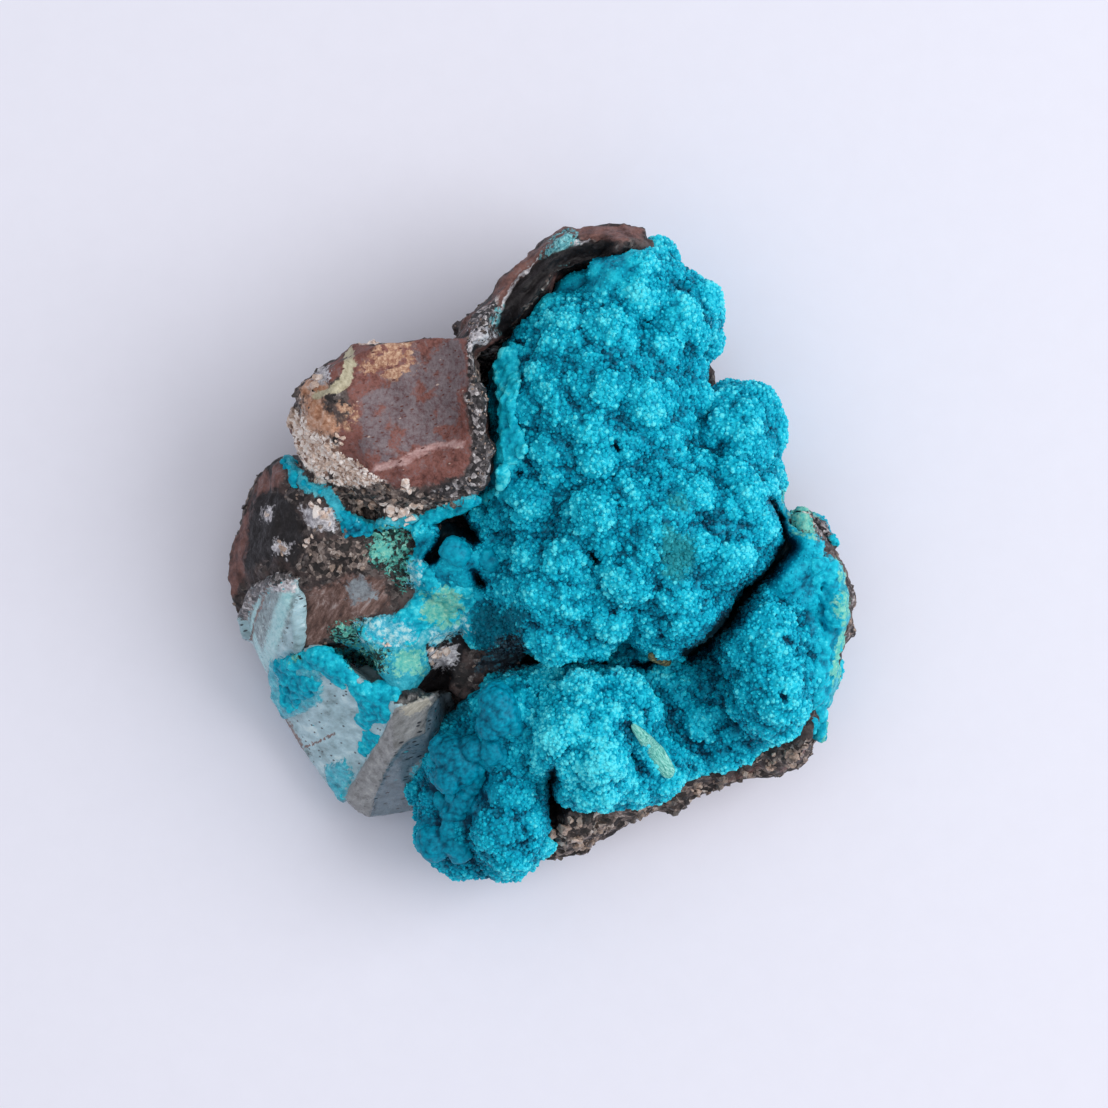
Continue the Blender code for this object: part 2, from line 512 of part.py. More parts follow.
def build_rock(parts, helpers, wedge_room):
    rock = linked("rock form", hull_mesh("rock form", ROCK_BLOCKS), helpers)
    add_voxel_union(rock, ROCK_VOXEL)
    rock = evaluated_copy(rock, "rock form", helpers)
    roughen(rock)
    add_voxel_union(rock, ROCK_VOXEL)
    rock = evaluated_copy(rock, "rock form", helpers)
    scoop = ellipsoids_object("scoop", [(centre, radii, 0.0) for centre, radii in SCOOPS], 4, helpers)
    add_voxel_union(scoop, HOLLOW_VOXEL)
    scoop = as_cutter(evaluated_copy(scoop, "scoop", helpers))
    add_cut(rock, scoop)
    add_voxel_union(rock, ROCK_VOXEL)
    rock = evaluated_copy(rock, "rock form", helpers)
    add_decimate(rock, ROCK_TRIANGLES)
    rock = evaluated_copy(rock, "rock form", helpers)
    add_cut(rock, wedge_room)
    rock = evaluated_copy(rock, "host_rock", parts)
    saw_flat(rock, SAW_LEVEL)
    keep_main_body(rock)
    return rock


def build_chalcedony(parts, helpers):
    wedge = linked("wedge form", hull_mesh("wedge form", CHALCEDONY_BLOCKS), helpers)
    add_voxel_union(wedge, WEDGE_VOXEL)
    wedge = evaluated_copy(wedge, "wedge form", helpers)
    add_decimate(wedge, WEDGE_TRIANGLES)
    return evaluated_copy(wedge, "chalcedony_wedge", parts)


def main():
    clear_scene()
    parts = collection_named("chrysocolla specimen")
    helpers = collection_named("helpers")
    chalcedony = build_chalcedony(parts, helpers)
    wedge_room = grown(chalcedony, "wedge room", FIT_GAP, helpers)
    rock = build_rock(parts, helpers, wedge_room)
    crust = build_crust(parts, helpers)
    rock_room = grown(rock, "rock room", FIT_GAP, helpers)
    add_cut(crust, rock_room)
    add_cut(crust, wedge_room)
    crust = evaluated_copy(crust, "chrysocolla_crust", parts)
    keep_main_body(crust)
    rock.data.materials.append(material("host rock", (0.16, 0.08, 0.06), 0.75))
    chalcedony.data.materials.append(material("chalcedony", (0.42, 0.50, 0.52), 0.35))
    crust.data.materials.append(material("chrysocolla", (0.01, 0.36, 0.48), 0.45))


main()
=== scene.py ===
"""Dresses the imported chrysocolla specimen: quartz druse, botryoidal crust, rock grain, films and colours.

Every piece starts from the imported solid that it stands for. Lengths are in millimetres in the part's own
frame. Tables of places seen from above hold x and y in turn, in tenths of a millimetre, and heights come
from the surface below each place.
"""

import itertools
import json
import math

import bmesh
import bpy
import numpy as np
from mathutils import Matrix, Vector
from mathutils.bvhtree import BVHTree
from mathutils.kdtree import KDTree

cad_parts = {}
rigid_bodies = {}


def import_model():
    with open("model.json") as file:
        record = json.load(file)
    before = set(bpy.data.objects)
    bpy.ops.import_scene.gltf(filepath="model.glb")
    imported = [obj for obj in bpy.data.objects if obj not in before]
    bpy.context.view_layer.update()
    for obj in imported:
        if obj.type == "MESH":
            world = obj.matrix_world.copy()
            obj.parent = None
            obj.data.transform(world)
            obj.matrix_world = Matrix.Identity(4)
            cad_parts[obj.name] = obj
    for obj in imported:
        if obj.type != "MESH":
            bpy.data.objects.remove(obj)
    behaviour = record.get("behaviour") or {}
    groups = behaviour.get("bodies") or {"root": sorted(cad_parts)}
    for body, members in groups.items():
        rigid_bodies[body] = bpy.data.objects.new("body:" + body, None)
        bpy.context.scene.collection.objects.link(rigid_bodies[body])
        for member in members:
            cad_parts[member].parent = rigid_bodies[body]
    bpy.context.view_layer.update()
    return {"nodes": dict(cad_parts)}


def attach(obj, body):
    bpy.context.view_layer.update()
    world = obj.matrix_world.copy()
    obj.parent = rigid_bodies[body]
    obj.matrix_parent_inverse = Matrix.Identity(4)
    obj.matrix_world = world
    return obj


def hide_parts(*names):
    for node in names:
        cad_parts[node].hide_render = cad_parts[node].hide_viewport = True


MM = 0.001
TENTHS = 10.0
THOUSAND = 1000.0

# How finely each solid is divided before its relief is added.
ROCK_VOXEL = 0.36
CRUST_VOXEL = 0.33
CHALCEDONY_VOXEL = 0.3
FILM_VOXEL = 0.2
LEAST_SHELL = 30          # points: a smaller shell is a speck

LOWEST_HOLLOW = 1.2       # no cleft goes below this level
BUMP_WARP = 0.28          # of a round bump's size: how far its outline is pushed about

# Zones seen from above: closed areas, and lines with a half width.
AREAS = {
    "scoop": [(-214, 200, -197, 204, -194, 182, -202, 170, -212, 170), (-190, 210, -142, 219, -84, 222,
        -76, 209, -73, 134, -76, 80, -102, 68, -147, 68, -174, 80, -200, 100, -202, 124, -190, 139, -192, 162,
        -198, 184)],
    "scoop_grey": [(-182, 129, -179, 149, -167, 164, -150, 178, -130, 188, -122, 204, -92, 214, -85, 208,
        -80, 174, -83, 134, -96, 114, -112, 108, -132, 102, -152, 96, -170, 96, -179, 112)],
    "ochre": [(-166, 198, -152, 218, -130, 218, -130, 204, -122, 180, -144, 178, -176, 182), (-198, 146,
        -190, 150, -184, 129, -192, 126)],
    "salmon": [(-240, 172, -217, 177, -208, 158, -224, 152, -238, 156), (-234, 154, -216, 156, -200, 120,
        -212, 114, -232, 127)],
    "quartz": [(-230, 190, -212, 200, -208, 174, -226, 168), (-75, 220, -45, 224, -42, 202, -72, 198),
        (-238, 46, -206, 44, -206, 26, -230, 26), (-278, 46, -268, 46, -268, 33, -279, 33), (-266, 14,
        -250, 8, -254, -6, -266, -2), (-118, -96, -86, -92, -82, -108, -112, -114), (-160, -86, -148, -84,
        -146, -96, -158, -98)],
    "pale_grain": [(-264, 152, -237, 158, -230, 129, -200, 106, -170, 86, -150, 72, -170, 66, -202, 68,
        -226, 74, -242, 92, -259, 124)],
    "mixed_grain": [(-224, 74, -197, 80, -170, 72, -130, 66, -96, 58, -56, 60, -64, 46, -102, 36, -124, 24,
        -154, 26, -182, 38, -204, 54), (-242, 14, -202, 16, -170, 9, -172, -18, -212, -22, -242, -20),
        (-6, -272, 58, -258, 118, -246, 158, -232, 218, -218, 248, -191, 278, -181, 278, -236, 158, -276,
        98, -308, 58, -316, -2, -312)],
    "dark_grain": [(-76, 238, -42, 256, -39, 209, -34, 134, -42, 84, -56, 58, -102, 46, -112, 58, -92, 68,
        -75, 80, -70, 134, -77, 204), (288, -146, 320, -6, 326, -46, 308, -136, 288, -216)],
    "rust": [(-92, 217, -42, 268, -17, 306, 3, 320, 12, 304, -12, 282, -30, 256, -54, 226, -77, 207),
        (-298, 54, -287, 78, -266, 94, -254, 78, -272, 62, -285, 34, -295, -6, -312, -48, -320, -31,
        -310, 14), (30, 332, 100, 330, 100, 310, 58, 307, 33, 314), (70, -258, 118, -242, 126, -252,
        80, -270), (178, -228, 220, -214, 224, -224, 184, -238)],
    "black": [(-44, 216, -36, 244, -22, 268, -2, 290, 33, 303, 70, 309, 64, 288, 22, 268, 6, 246, -12, 214,
        -30, 208), (-288, 56, -276, 66, -246, 54, -236, 14, -246, -12, -278, -2, -294, -20, -299, -6,
        -295, 29), (-140, -152, -137, -106, -112, -74, -70, -68, -72, -96, -84, -122, -110, -146), (-202, -86,
        -190, -82, -186, -96, -198, -100), (-166, -78, -144, -76, -142, -102, -162, -104)],
    "brown": [(-230, -36, -197, -22, -156, -26, -158, -52, -190, -74, -224, -86, -242, -122, -266, -114,
        -252, -68)],
    "blue_grey": [(-196, -30, -174, -24, -166, -42, -192, -52)],
    "light_stain": [(3, 318, 30, 323, 36, 304, 18, 290, -2, 290), (-46, 239, -36, 244, -30, 214, -42, 209)],
    "film": [(-144, -6, -128, -36, -144, -58, -170, -64, -192, -74, -212, -92, -228, -101, -220, -122,
        -197, -138, -192, -158, -168, -162, -144, -152, -128, -136, -114, -114, -118, -92, -102, -78,
        -64, -66, -22, -50, -42, -6, -92, 14), (-274, -106, -242, -98, -218, -114, -220, -146, -242, -160,
        -260, -166, -272, -146), (280, -2, 298, -12, 301, -46, 300, -96, 294, -146, 288, -181, 285, -220,
        270, -216, 276, -181, 282, -136, 286, -86, 282, -46)],
    "malachite": [(-172, 20, -150, 28, -134, 24, -130, 2, -132, -26, -142, -36, -152, -20, -170, -6),
        (-204, -92, -182, -88, -156, -96, -152, -114, -166, -126, -188, -120), (-250, -68, -244, -68,
        -244, -102, -251, -106), (-214, -74, -180, -68, -180, -86, -208, -90)],
    "pale_green": [(-122, -40, -94, -34, -78, -38, -76, -58, -98, -70, -122, -60), (-148, -98, -121, -94,
        -122, -118, -144, -120), (-168, 12, -150, 14, -148, -2, -164, -6), (242, 62, 266, 56, 282, 34,
        270, 16, 252, 24), (294, -42, 304, -46, 302, -64, 292, -62)],
    "dark_patch": [(265, 40, 286, 32, 292, 8, 274, 14), (304, -6, 318, -36, 316, -86, 304, -106, 307, -56)],
    "speckled": [(-56, -96, -42, -82, -26, -74, -14, -90, -8, -114, -32, -122, -52, -118, -66, -114)],
    "sheet": [(-68, -58, -54, -50, -42, -57, -30, -51, -12, -58, -20, -70, -36, -80, -46, -94, -60, -98,
        -68, -82), (-108, -146, -76, -138, -70, -158, -96, -170, -112, -168)],
    "murky": [(120, 22, 148, 16, 154, -6, 138, -24, 118, -16), (126, 56, 140, 54, 138, 42, 126, 44)],
    "sky": [(-186, -70, -158, -62, -130, -68, -126, -86, -144, -94, -172, -86), (-142, -2, -118, -6,
        -118, -30, -138, -30), (-112, -74, -90, -68, -74, -58, -70, -72, -96, -86, -112, -92)],
    "basin": [(148, -101, 184, -86, 190, -136, 233, -181, 158, -236, 123, -206, 118, -146)],
    "foot": [(-137, -216, -72, -196, -17, -236, -7, -306, -62, -331, -142, -331)],
    "lower_dome": [(-22, -136, 18, -108, 78, -116, 108, -156, 98, -236, 58, -258, 8, -236, -17, -186)],
    "crown": [(-12, 294, 58, 329, 108, 294, 98, 224, 18, 204, -22, 244)],
    "smooth": [(-24, 282, 18, 304, 58, 318, 98, 292, 82, 266, 28, 254, -12, 232, -34, 224), (-50, 224,
        -30, 209, -30, 114, -20, 64, -42, 49, -54, 64, -50, 134), (-144, 14, -102, 18, -64, -6, -58, -46,
        -72, -86, -112, -136, -144, -56), (-64, -136, -26, -130, -24, -170, -60, -180), (-116, -184,
        -62, -182, -42, -236, -72, -276, -112, -246), (-124, -261, -87, -264, -90, -298, -118, -302),
        (233, 54, 270, 64, 308, -16, 316, -86, 284, -146, 270, -86, 258, -42, 230, -34), (264, -146,
        290, -146, 284, -221, 264, -214)],
    "face_grey": [(-300, -46, -280, -26, -244, -22, -246, -52, -258, -82, -274, -102, -288, -86)],
    # A cream painted highlight at the top of the prism face.
    "face_cream": [(-142, -152, -118, -143, -108, -145, -118, -155, -132, -160, -141, -159)],
    "face_glass": [(-148, -148, -140, -122, -117, -112, -86, -110, -84, -136, -101, -143, -127, -152)],
    "face_white": [(-272, -24, -246, -22, -246, -38, -268, -38)],
    "face_blue": [(-258, -38, -245, -36, -262, -86, -272, -114, -284, -110, -274, -76)],
    "face_prism": [(-147, -153, -102, -138, -114, -158, -117, -178, -137, -188, -152, -208, -165, -236,
        -177, -271, -205, -253, -187, -226, -170, -198, -155, -173)],
    "face_dark": [(-102, -138, -122, -161, -142, -181, -158, -206, -172, -236, -187, -272, -142, -288,
        -97, -246, -80, -186, -90, -144)],
    "face_rock": [(-304, -18, -280, -10, -242, -16, -243, -26, -272, -34, -286, -48, -298, -68, -310, -62)],
    "face_edge": [(-270, -158, -258, -164, -240, -194, -246, -206, -266, -181)],
    "face_teal": [(-220, -214, -197, -204, -190, -221, -197, -246, -204, -250, -216, -232), (-274, -106,
        -242, -98, -218, -114, -220, -146, -242, -160, -260, -166, -272, -146), (-132, -216, -102, -186,
        -92, -246, -122, -276, -130, -246)],
}
LINES = {
    "olive": [((-193, 204, -186, 186, -190, 171, -204, 162, -224, 158), 0.5)],
    # Painted highlight along the scoop's lower lip, over its pink tint.
    "lip": [((-164, 86, -137, 93, -112, 102, -84, 110), 0.35)],
    "quartz": [((-68, 200, -46, 227, -34, 252, -22, 274, -2, 294, 24, 304, 48, 307), 0.2)],
    "pale_green": [((298, -2, 301, -46, 298, -96, 292, -146, 285, -196), 0.2)],
    "film": [((-262, 130, -261, 114, -252, 92, -238, 72, -212, 60, -196, 34, -172, 28, -142, 32, -112, 40,
        -72, 52, -42, 66), 0.6)],
    "face_blue": [((-280, -30, -292, -76, -280, -116), 0.25)],
    "face_crack": [((-248, -196, -236, -193, -222, -187, -208, -180), 0.12), ((-294, -86, -284, -58,
        -272, -34), 0.12)],
}
WANDER_SIZE = 2.4

# Holes and clefts: a line seen from above, its half width, and how far the crust is sunk along it. Their
# profiles are in half widths: where the floor, the painted dark shade in the cleft and the painted shade that
# deepens the colour round it end, and where each is gone.
CLEFT_FLOOR, CLEFT_DARK, CLEFT_SHADE = (0.35, 1.6), (0.2, 1.1), (1.0, 2.8)
DARK_DEPTHS = (0.6, 1.4)  # a shallower cleft gets no painted shade, a deeper one gets it in full
CLEFTS = [
    ((242, -83, 246, -87), 0.3, 0.9), ((239, -140, 242, -143), 0.3, 0.9), ((-38, 224, -30, 248, -16, 268,
    3, 286, 26, 297, 56, 302), 1.0, 3.5), ((226, 52, 238, 34, 246, 9), 0.45, 2.5), ((246, 9, 226, -16,
    208, -34), 0.9, 4.0), ((208, -34, 188, -62, 166, -88, 148, -98), 1.15, 4.0), ((112, -108, 103, -114,
    94, -110), 0.5, 2.5), ((62, -110, 48, -106), 0.4, 2.0), ((11, -216, 9, -236, 11, -254, 14, -270), 0.75,
    5.0), ((74, 107, 76, 104), 0.3, 1.6), ((51, 2, 55, -6), 0.35, 1.8), ((-22, 81, -20, 78), 0.28, 1.2),
    ((-23, 210, -18, 208), 0.3, 1.3), ((-27, -166, -27, -170), 0.25, 1.0), ((69, -56, 71, -59), 0.22, 0.8),
    ((84, -168, 89, -190, 101, -214), 0.6, 0.7),
]
# Caves: an area seen from above, and how far the crust is sunk in it.
CAVES = [
    ((-106, 34, -95, 42, -84, 45, -75, 36, -63, 23, -59, 12, -68, 5, -79, 13, -90, 14, -96, 2, -104, -8,
    -114, -9, -116, -2, -106, 8, -102, 20), 5.0), ((-70, -16, -62, -18, -52, -28, -54, -36, -62, -32,
    -68, -26), 2.6),
]
CAVE_WALL = 0.35


# ---- repeatable noise ----------------------------------------------------------------------------

def hashed(cells, seed):
    """A repeatable number from 0 to 1 for each whole-number cell."""
    c = cells.astype(np.int64)
    n = (c[..., 0] * 73856093) ^ (c[..., 1] * 19349663) ^ (c[..., 2] * 83492791) ^ (seed * 40503 + 977)
    n = ((n ^ (n >> 13)) * 1274126177) & 0xFFFFFFFF
    n = ((n ^ (n >> 15)) * 2246822519) & 0xFFFFFFFF
    return ((n ^ (n >> 16)) & 0xFFFFFF) / float(0xFFFFFF)


def soft_noise(points, size, seed):
    """Smooth noise from -1 to 1 whose features are about size across."""
    p = points / size
    base = np.floor(p)
    f = p - base
    f = f * f * (3.0 - 2.0 * f)
    total = np.zeros(len(p))
    for corner in itertools.product((0, 1), repeat=3):
        weight = np.prod(np.where(np.array(corner) == 1, f, 1.0 - f), axis=1)
        total += weight * hashed(base + np.array(corner), seed)
    return total * 2.0 - 1.0


def layered_noise(points, size, seed, layers=3):
    total, strength = np.zeros(len(points)), 1.0
    for k in range(layers):
        total += strength * soft_noise(points, size / 2**k, seed + 17 * k)
        strength *= 0.5
    return total / (2.0 - 2.0 ** (1 - layers))


def pushes(points, size, seeds, layers=3):
    """One noise per direction, to push points about with."""
    return np.stack([layered_noise(points, size, seed, layers) for seed in seeds], axis=1)


def cell_noise(points, size, seed):
    """Distance to the nearest cell centre, in cells, and that cell's number from 0 to 1."""
    p = points / size
    base = np.floor(p)
    near, key = np.full(len(p), 9.0), np.zeros(len(p))
    for corner in itertools.product((-1, 0, 1), repeat=3):
        cell = base + np.array(corner)
        jitter = np.stack([hashed(cell, seed + k) for k in (1, 2, 3)], axis=1)
        distance = np.linalg.norm(p - (cell + 0.05 + 0.9 * jitter), axis=1)
        key = np.where(distance < near, hashed(cell, seed + 4), key)
        near = np.minimum(near, distance)
    return near, key


def botryoids(points, size, seed):
    """Rounded bumps packed together: 1 on a bump's top and near 0 in the creases."""
    warp = BUMP_WARP * size * pushes(points, size * 0.9, (seed + 40, seed + 50, seed + 60))
    return 1.0 - np.minimum(cell_noise(points + warp, size, seed)[0], 1.0) ** 2


def swells(points, size, seed, height):
    """Smooth relief: how far up or down each point goes."""
    return height * layered_noise(points, size, seed)


def bumps(points, rows):
    """Layers of rounded bumps, one for each size, seed and height."""
    return sum(height * botryoids(points, size, seed) for size, seed, height in rows)


def between(span, share):
    """The value at a share of the way from the span's first to its last."""
    return span[0] + (span[1] - span[0]) * share


def directions(count):
    """How far across and how far up each of the even turns of a circle points."""
    turn = np.arange(count) * 2.0 * math.pi / count
    return np.cos(turn), np.sin(turn)


def unit(vectors):
    """Vectors, a row each, made one long."""
    return vectors / np.maximum(np.linalg.norm(vectors, axis=1), 1e-12)[:, None]


def smoothstep(low, high, x):
    t = np.clip((x - low) / (high - low), 0.0, 1.0)
    return t * t * (3.0 - 2.0 * t)


# ---- zones ---------------------------------------------------------------------------------------

def plan(tenths):
    """The places of a table row, one x and y per line, in millimetres."""
    return np.reshape(tenths, (-1, 2)) / TENTHS


def edge_distance(xy, line, closed=False):
    """Distance from each point to a line of points in the plan."""
    starts, stops = (line, np.roll(line, -1, axis=0)) if closed else (line[:-1], line[1:])
    nearest = np.full(len(xy), 1e9)
    for a, b in zip(starts, stops):
        along = b - a
        t = np.clip(((xy - a) @ along) / (along @ along), 0.0, 1.0)
        nearest = np.minimum(nearest, np.linalg.norm(xy - a - t[:, None] * along, axis=1))
    return nearest


def inside(xy, area):
    """Whether each point of the plan is inside the closed area."""
    found = np.zeros(len(xy), bool)
    for a, b in zip(area, np.roll(area, -1, axis=0)):
        crosses = (a[1] > xy[:, 1]) != (b[1] > xy[:, 1])
        if a[1] != b[1]:
            at = a[0] + (xy[:, 1] - a[1]) * (b[0] - a[0]) / (b[1] - a[1])
            found ^= crosses & (xy[:, 0] < at)
    return found


def within(xy, area):
    """How far each point of the plan is inside the closed area, below 0 outside it."""
    return edge_distance(xy, area, True) * np.where(inside(xy, area), 1.0, -1.0)


def wandered(points, amount):
    """Places in the plan, pushed about a little so that no edge runs straight."""
    return points[:, :2] + amount * pushes(points, WANDER_SIZE, (51, 87), 4)


def sunk(points):
    """How far each point is sunk by clefts and caves, how much painted shade darkens it in them, and how much
    painted shade deepens the colour round them.
    """
    xy = wandered(points, 0.45)
    depth, dark, shade = np.zeros((3, len(points)))
    for line, half_width, most in CLEFTS:
        away = edge_distance(xy, plan(line)) / half_width
        depth = np.maximum(depth, most * (1.0 - smoothstep(*CLEFT_FLOOR, away)))
        dark = np.maximum(dark, (1.0 - smoothstep(*CLEFT_DARK, away)) * smoothstep(*DARK_DEPTHS, most))
        shade = np.maximum(shade, 1.0 - smoothstep(*CLEFT_SHADE, away))
    for area, most in CAVES:
        depth_in = within(xy, plan(area))
        depth = np.maximum(depth, most * smoothstep(-CAVE_WALL, CAVE_WALL, depth_in))
        dark = np.maximum(dark, smoothstep(-0.5 * CAVE_WALL, CAVE_WALL, depth_in))
        shade = np.maximum(shade, smoothstep(-4.0 * CAVE_WALL, 0.0, depth_in))
    return depth, dark, shade


def zones(points, names, wander=0.8, soft=0.9):
    """How far each point is inside each named zone: 0 outside, 0.5 on its edge, 1 well inside."""
    xy, found = wandered(points, wander), {}
    for name in names:
        value = np.zeros(len(points))
        for area in AREAS.get(name, []):
            value = np.maximum(value, smoothstep(-soft, soft, within(xy, plan(area))))
        for line, half in LINES.get(name, []):
            value = np.maximum(value, smoothstep(-half, half, half - edge_distance(xy, plan(line))))
        found[name] = value
    return found


# ---- meshes --------------------------------------------------------------------------------------

def arrays_of(mesh):
    """Points in millimetres and faces as triangles."""
    mesh.calc_loop_triangles()
    points = np.empty(len(mesh.vertices) * 3, np.float32)
    mesh.vertices.foreach_get("co", points)
    faces = np.empty(len(mesh.loop_triangles) * 3, np.int32)
    mesh.loop_triangles.foreach_get("vertices", faces)
    return points.reshape(-1, 3).astype(float) / MM, faces.reshape(-1, 3)


def new_mesh(name, points, faces):
    mesh = bpy.data.meshes.new(name)
    mesh.vertices.add(len(points))
    mesh.vertices.foreach_set("co", np.ascontiguousarray(points * MM, np.float32).ravel())
    mesh.loops.add(faces.size)
    mesh.loops.foreach_set("vertex_index", np.ascontiguousarray(faces, np.int32).ravel())
    mesh.polygons.add(len(faces))
    mesh.polygons.foreach_set("loop_start", np.arange(0, faces.size, faces.shape[1], dtype=np.int32))
    mesh.update(calc_edges=True)
    return mesh


def in_scene(name, data):
    obj = bpy.data.objects.new(name, data)
    bpy.context.scene.collection.objects.link(obj)
    return obj


def remeshed(mesh, voxel):
    """The mesh's outer skin, divided evenly, as points in millimetres and triangles."""
    helper = in_scene("remesh_helper", mesh)
    remesh = helper.modifiers.new("even", "REMESH")
    remesh.mode = "VOXEL"
    remesh.voxel_size = voxel * MM
    graph = bpy.context.evaluated_depsgraph_get()
    made = bpy.data.meshes.new_from_object(helper.evaluated_get(graph))
    bpy.data.objects.remove(helper)
    points, faces = arrays_of(made)
    bpy.data.meshes.remove(made)
    return without_specks(points, faces)


def without_specks(points, faces):
    """Leaves out the specks that a voxel remesh makes of thin edges: shells of very few points."""
    group, lower = None, np.arange(len(points))
    while group is None or (lower != group).any():
        group = lower
        lower = group.copy()
        lowest = group[faces].min(axis=1)
        for k in range(3):
            np.minimum.at(lower, faces[:, k], lowest)
        lower = lower[lower]
    _, shell, count = np.unique(group, return_inverse=True, return_counts=True)
    kept = count[shell] >= LEAST_SHELL
    return points[kept], (np.cumsum(kept) - 1)[faces[kept[faces[:, 0]]]]


def vertex_normals(points, faces):
    corner = points[faces]
    face_normal = np.cross(corner[:, 1] - corner[:, 0], corner[:, 2] - corner[:, 0])
    total = np.zeros_like(points)
    for k, axis in itertools.product(range(3), repeat=2):
        total[:, axis] += np.bincount(faces[:, k], face_normal[:, axis], len(points))
    return unit(total)


def smoothed(values, faces, rounds):
    """Values at the points, a row each, each moved halfway to the mean of its neighbours per round."""
    edges = np.concatenate([faces[:, [0, 1]], faces[:, [1, 2]], faces[:, [2, 0]]])
    start, end = np.concatenate([edges, edges[:, ::-1]]).T
    count = np.bincount(start, minlength=len(values))
    values = values.copy()
    for _ in range(rounds):
        mean = [np.bincount(start, column[end], len(values)) / count for column in values.T]
        values += 0.5 * (np.stack(mean, axis=1) - values)
    return values


def tree_of(points, faces):
    return BVHTree.FromPolygons(points.tolist(), faces.tolist())


def relief_of(points, faces, rounds):
    """Height of each point over the broad form round it: above 0 on a bump, below 0 in a crease."""
    broad = smoothed(points, faces, rounds)
    return np.einsum("ij,ij->i", points - broad, vertex_normals(broad, faces))


def piece(name, points, faces, material, nodes=(), attributes=None, smooth=True):
    mesh = new_mesh(name, points, faces)
    mesh.materials.append(material)
    mesh.polygons.foreach_set("use_smooth", np.full(len(faces), smooth))
    for label, values in (attributes or {}).items():
        layer = mesh.attributes.new(label, "FLOAT", "POINT")
        layer.data.foreach_set("value", values.astype(np.float32))
    obj = in_scene(name, mesh)
    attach(obj, "root")
    if nodes:
        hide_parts(*nodes)


# ---- materials -----------------------------------------------------------------------------------

# Long patterns: how much longer than wide, and which way they run in degrees.
NO_STREAKS = ((1, 1, 1), 0.0)
STREAKS = {"streak": ((4, 1, 1), 10.0), "fibre": ((5, 1, 1), 52.0), "dash": ((1.9, 0.8, 1), 18.0)}
BLADE_GROOVES = ((9, 1, 1), -53.0)
FACE_CLOUDS = ((3, 1, 1), 20.0)
QUARTZ_IOR = 1.54
COAT_ROUGHNESS = 0.15
PATCH_SIZE = 0.45         # of the uneven edge of a zone


def add_node(tree, kind, inputs=None, **settings):
    made = tree.nodes.new("ShaderNode" + kind)
    for name, value in settings.items():
        setattr(made, name, value)
    for key, value in (inputs or {}).items():
        if isinstance(value, bpy.types.NodeSocket):
            tree.links.new(value, made.inputs[key])
        else:
            made.inputs[key].default_value = value
    return made


def place(tree, stretch, turn):
    """Position on the piece, in millimetres, turned about Z and then squeezed along each axis by stretch."""
    inputs = {"Vector": add_node(tree, "TexCoord").outputs["Object"], "Scale": [MM * s for s in stretch],
              "Rotation": (0.0, 0.0, math.radians(turn))}
    return add_node(tree, "Mapping", inputs, vector_type="TEXTURE").outputs[0]


def cloud(tree, size, stretch=(1, 1, 1), turn=0.0, detail=4.0, rough=0.6):
    inputs = {"Vector": place(tree, stretch, turn), "Scale": 1.0 / size, "Detail": detail, "Roughness": rough}
    return add_node(tree, "TexNoise", inputs).outputs["Fac"]


def grain(tree, size, stretch=(1, 1, 1), turn=0.0):
    """A number per grain, and the distance from the grain's middle."""
    cells = add_node(tree, "TexVoronoi", {"Vector": place(tree, stretch, turn), "Scale": 1.0 / size})
    number = add_node(tree, "SeparateColor", {"Color": cells.outputs["Color"]}).outputs[0]
    return number, cells.outputs["Distance"]


def maths(tree, operation, a, b, clamp=False):
    return add_node(tree, "Math", {0: a, 1: b}, operation=operation, use_clamp=clamp).outputs[0]


def swing(tree, value, gain):
    """A value from 0 to 1 as one round 0, times the gain."""
    return maths(tree, "MULTIPLY", maths(tree, "SUBTRACT", value, 0.5), gain)


def step(tree, value, low, high):
    inputs = {"Value": value, "From Min": low, "From Max": high}
    return add_node(tree, "MapRange", inputs, interpolation_type="SMOOTHSTEP").outputs[0]


def ramp(tree, value, stops):
    """Colour by a value from 0 to 1, by one of the palettes below."""
    made = add_node(tree, "ValToRGB", {"Fac": value})
    elements = made.color_ramp.elements
    while len(elements) < len(stops):
        elements.new(1.0)
    for element, stop in zip(elements, stops):
        element.position, *colour = (n / THOUSAND for n in stop)
        element.color = (*colour, 1.0)
    return made.outputs["Color"]


def attribute(tree, name):
    return add_node(tree, "Attribute", attribute_name=name).outputs["Fac"]


def ragged(tree, value, size, amount, edge):
    """A soft zone made into a patch with an uneven edge."""
    shift = swing(tree, cloud(tree, size), amount * 2.5)
    patch = step(tree, maths(tree, "ADD", value, shift), 0.5 - edge, 0.5 + edge)
    return maths(tree, "MULTIPLY", patch, step(tree, value, 0.02, 0.3))


def over(tree, below, above, mask):
    mix = add_node(tree, "Mix", {0: mask, 6: below}, data_type="RGBA")
    if isinstance(above, bpy.types.NodeSocket):
        tree.links.new(above, mix.inputs[7])
    else:
        mix.inputs[7].default_value = (*above, 1.0)
    return mix.outputs[2]


def pattern(tree, kind, size, stops):
    """Colour by soft clouds, by grains, or by long streaks across the face."""
    if kind == "grain":
        number, _ = grain(tree, size)
        blend = swing(tree, cloud(tree, size * 0.7, detail=5.0), 1.1)
        return ramp(tree, maths(tree, "ADD", maths(tree, "MULTIPLY", number, 0.8), blend, clamp=True), stops)
    return ramp(tree, cloud(tree, size, *STREAKS.get(kind, NO_STREAKS), detail=6.0, rough=0.7), stops)


def specks(tree, size, share, width):
    """Small separate dashes: 1 in a dash and 0 between them."""
    number, distance = grain(tree, size, *STREAKS["dash"])
    chosen = maths(tree, "GREATER_THAN", number, 1.0 - share)
    return maths(tree, "MULTIPLY", chosen, step(tree, distance, width, 0.6 * width))


def bump_height(tree, round_size, fine_size, fine_share):
    """Round grains with fine clouds over them."""
    _, distance = grain(tree, round_size)
    fine = maths(tree, "MULTIPLY", cloud(tree, fine_size, detail=5.0), fine_share)
    return maths(tree, "ADD", maths(tree, "MULTIPLY", distance, fine_share - 1.0), fine)


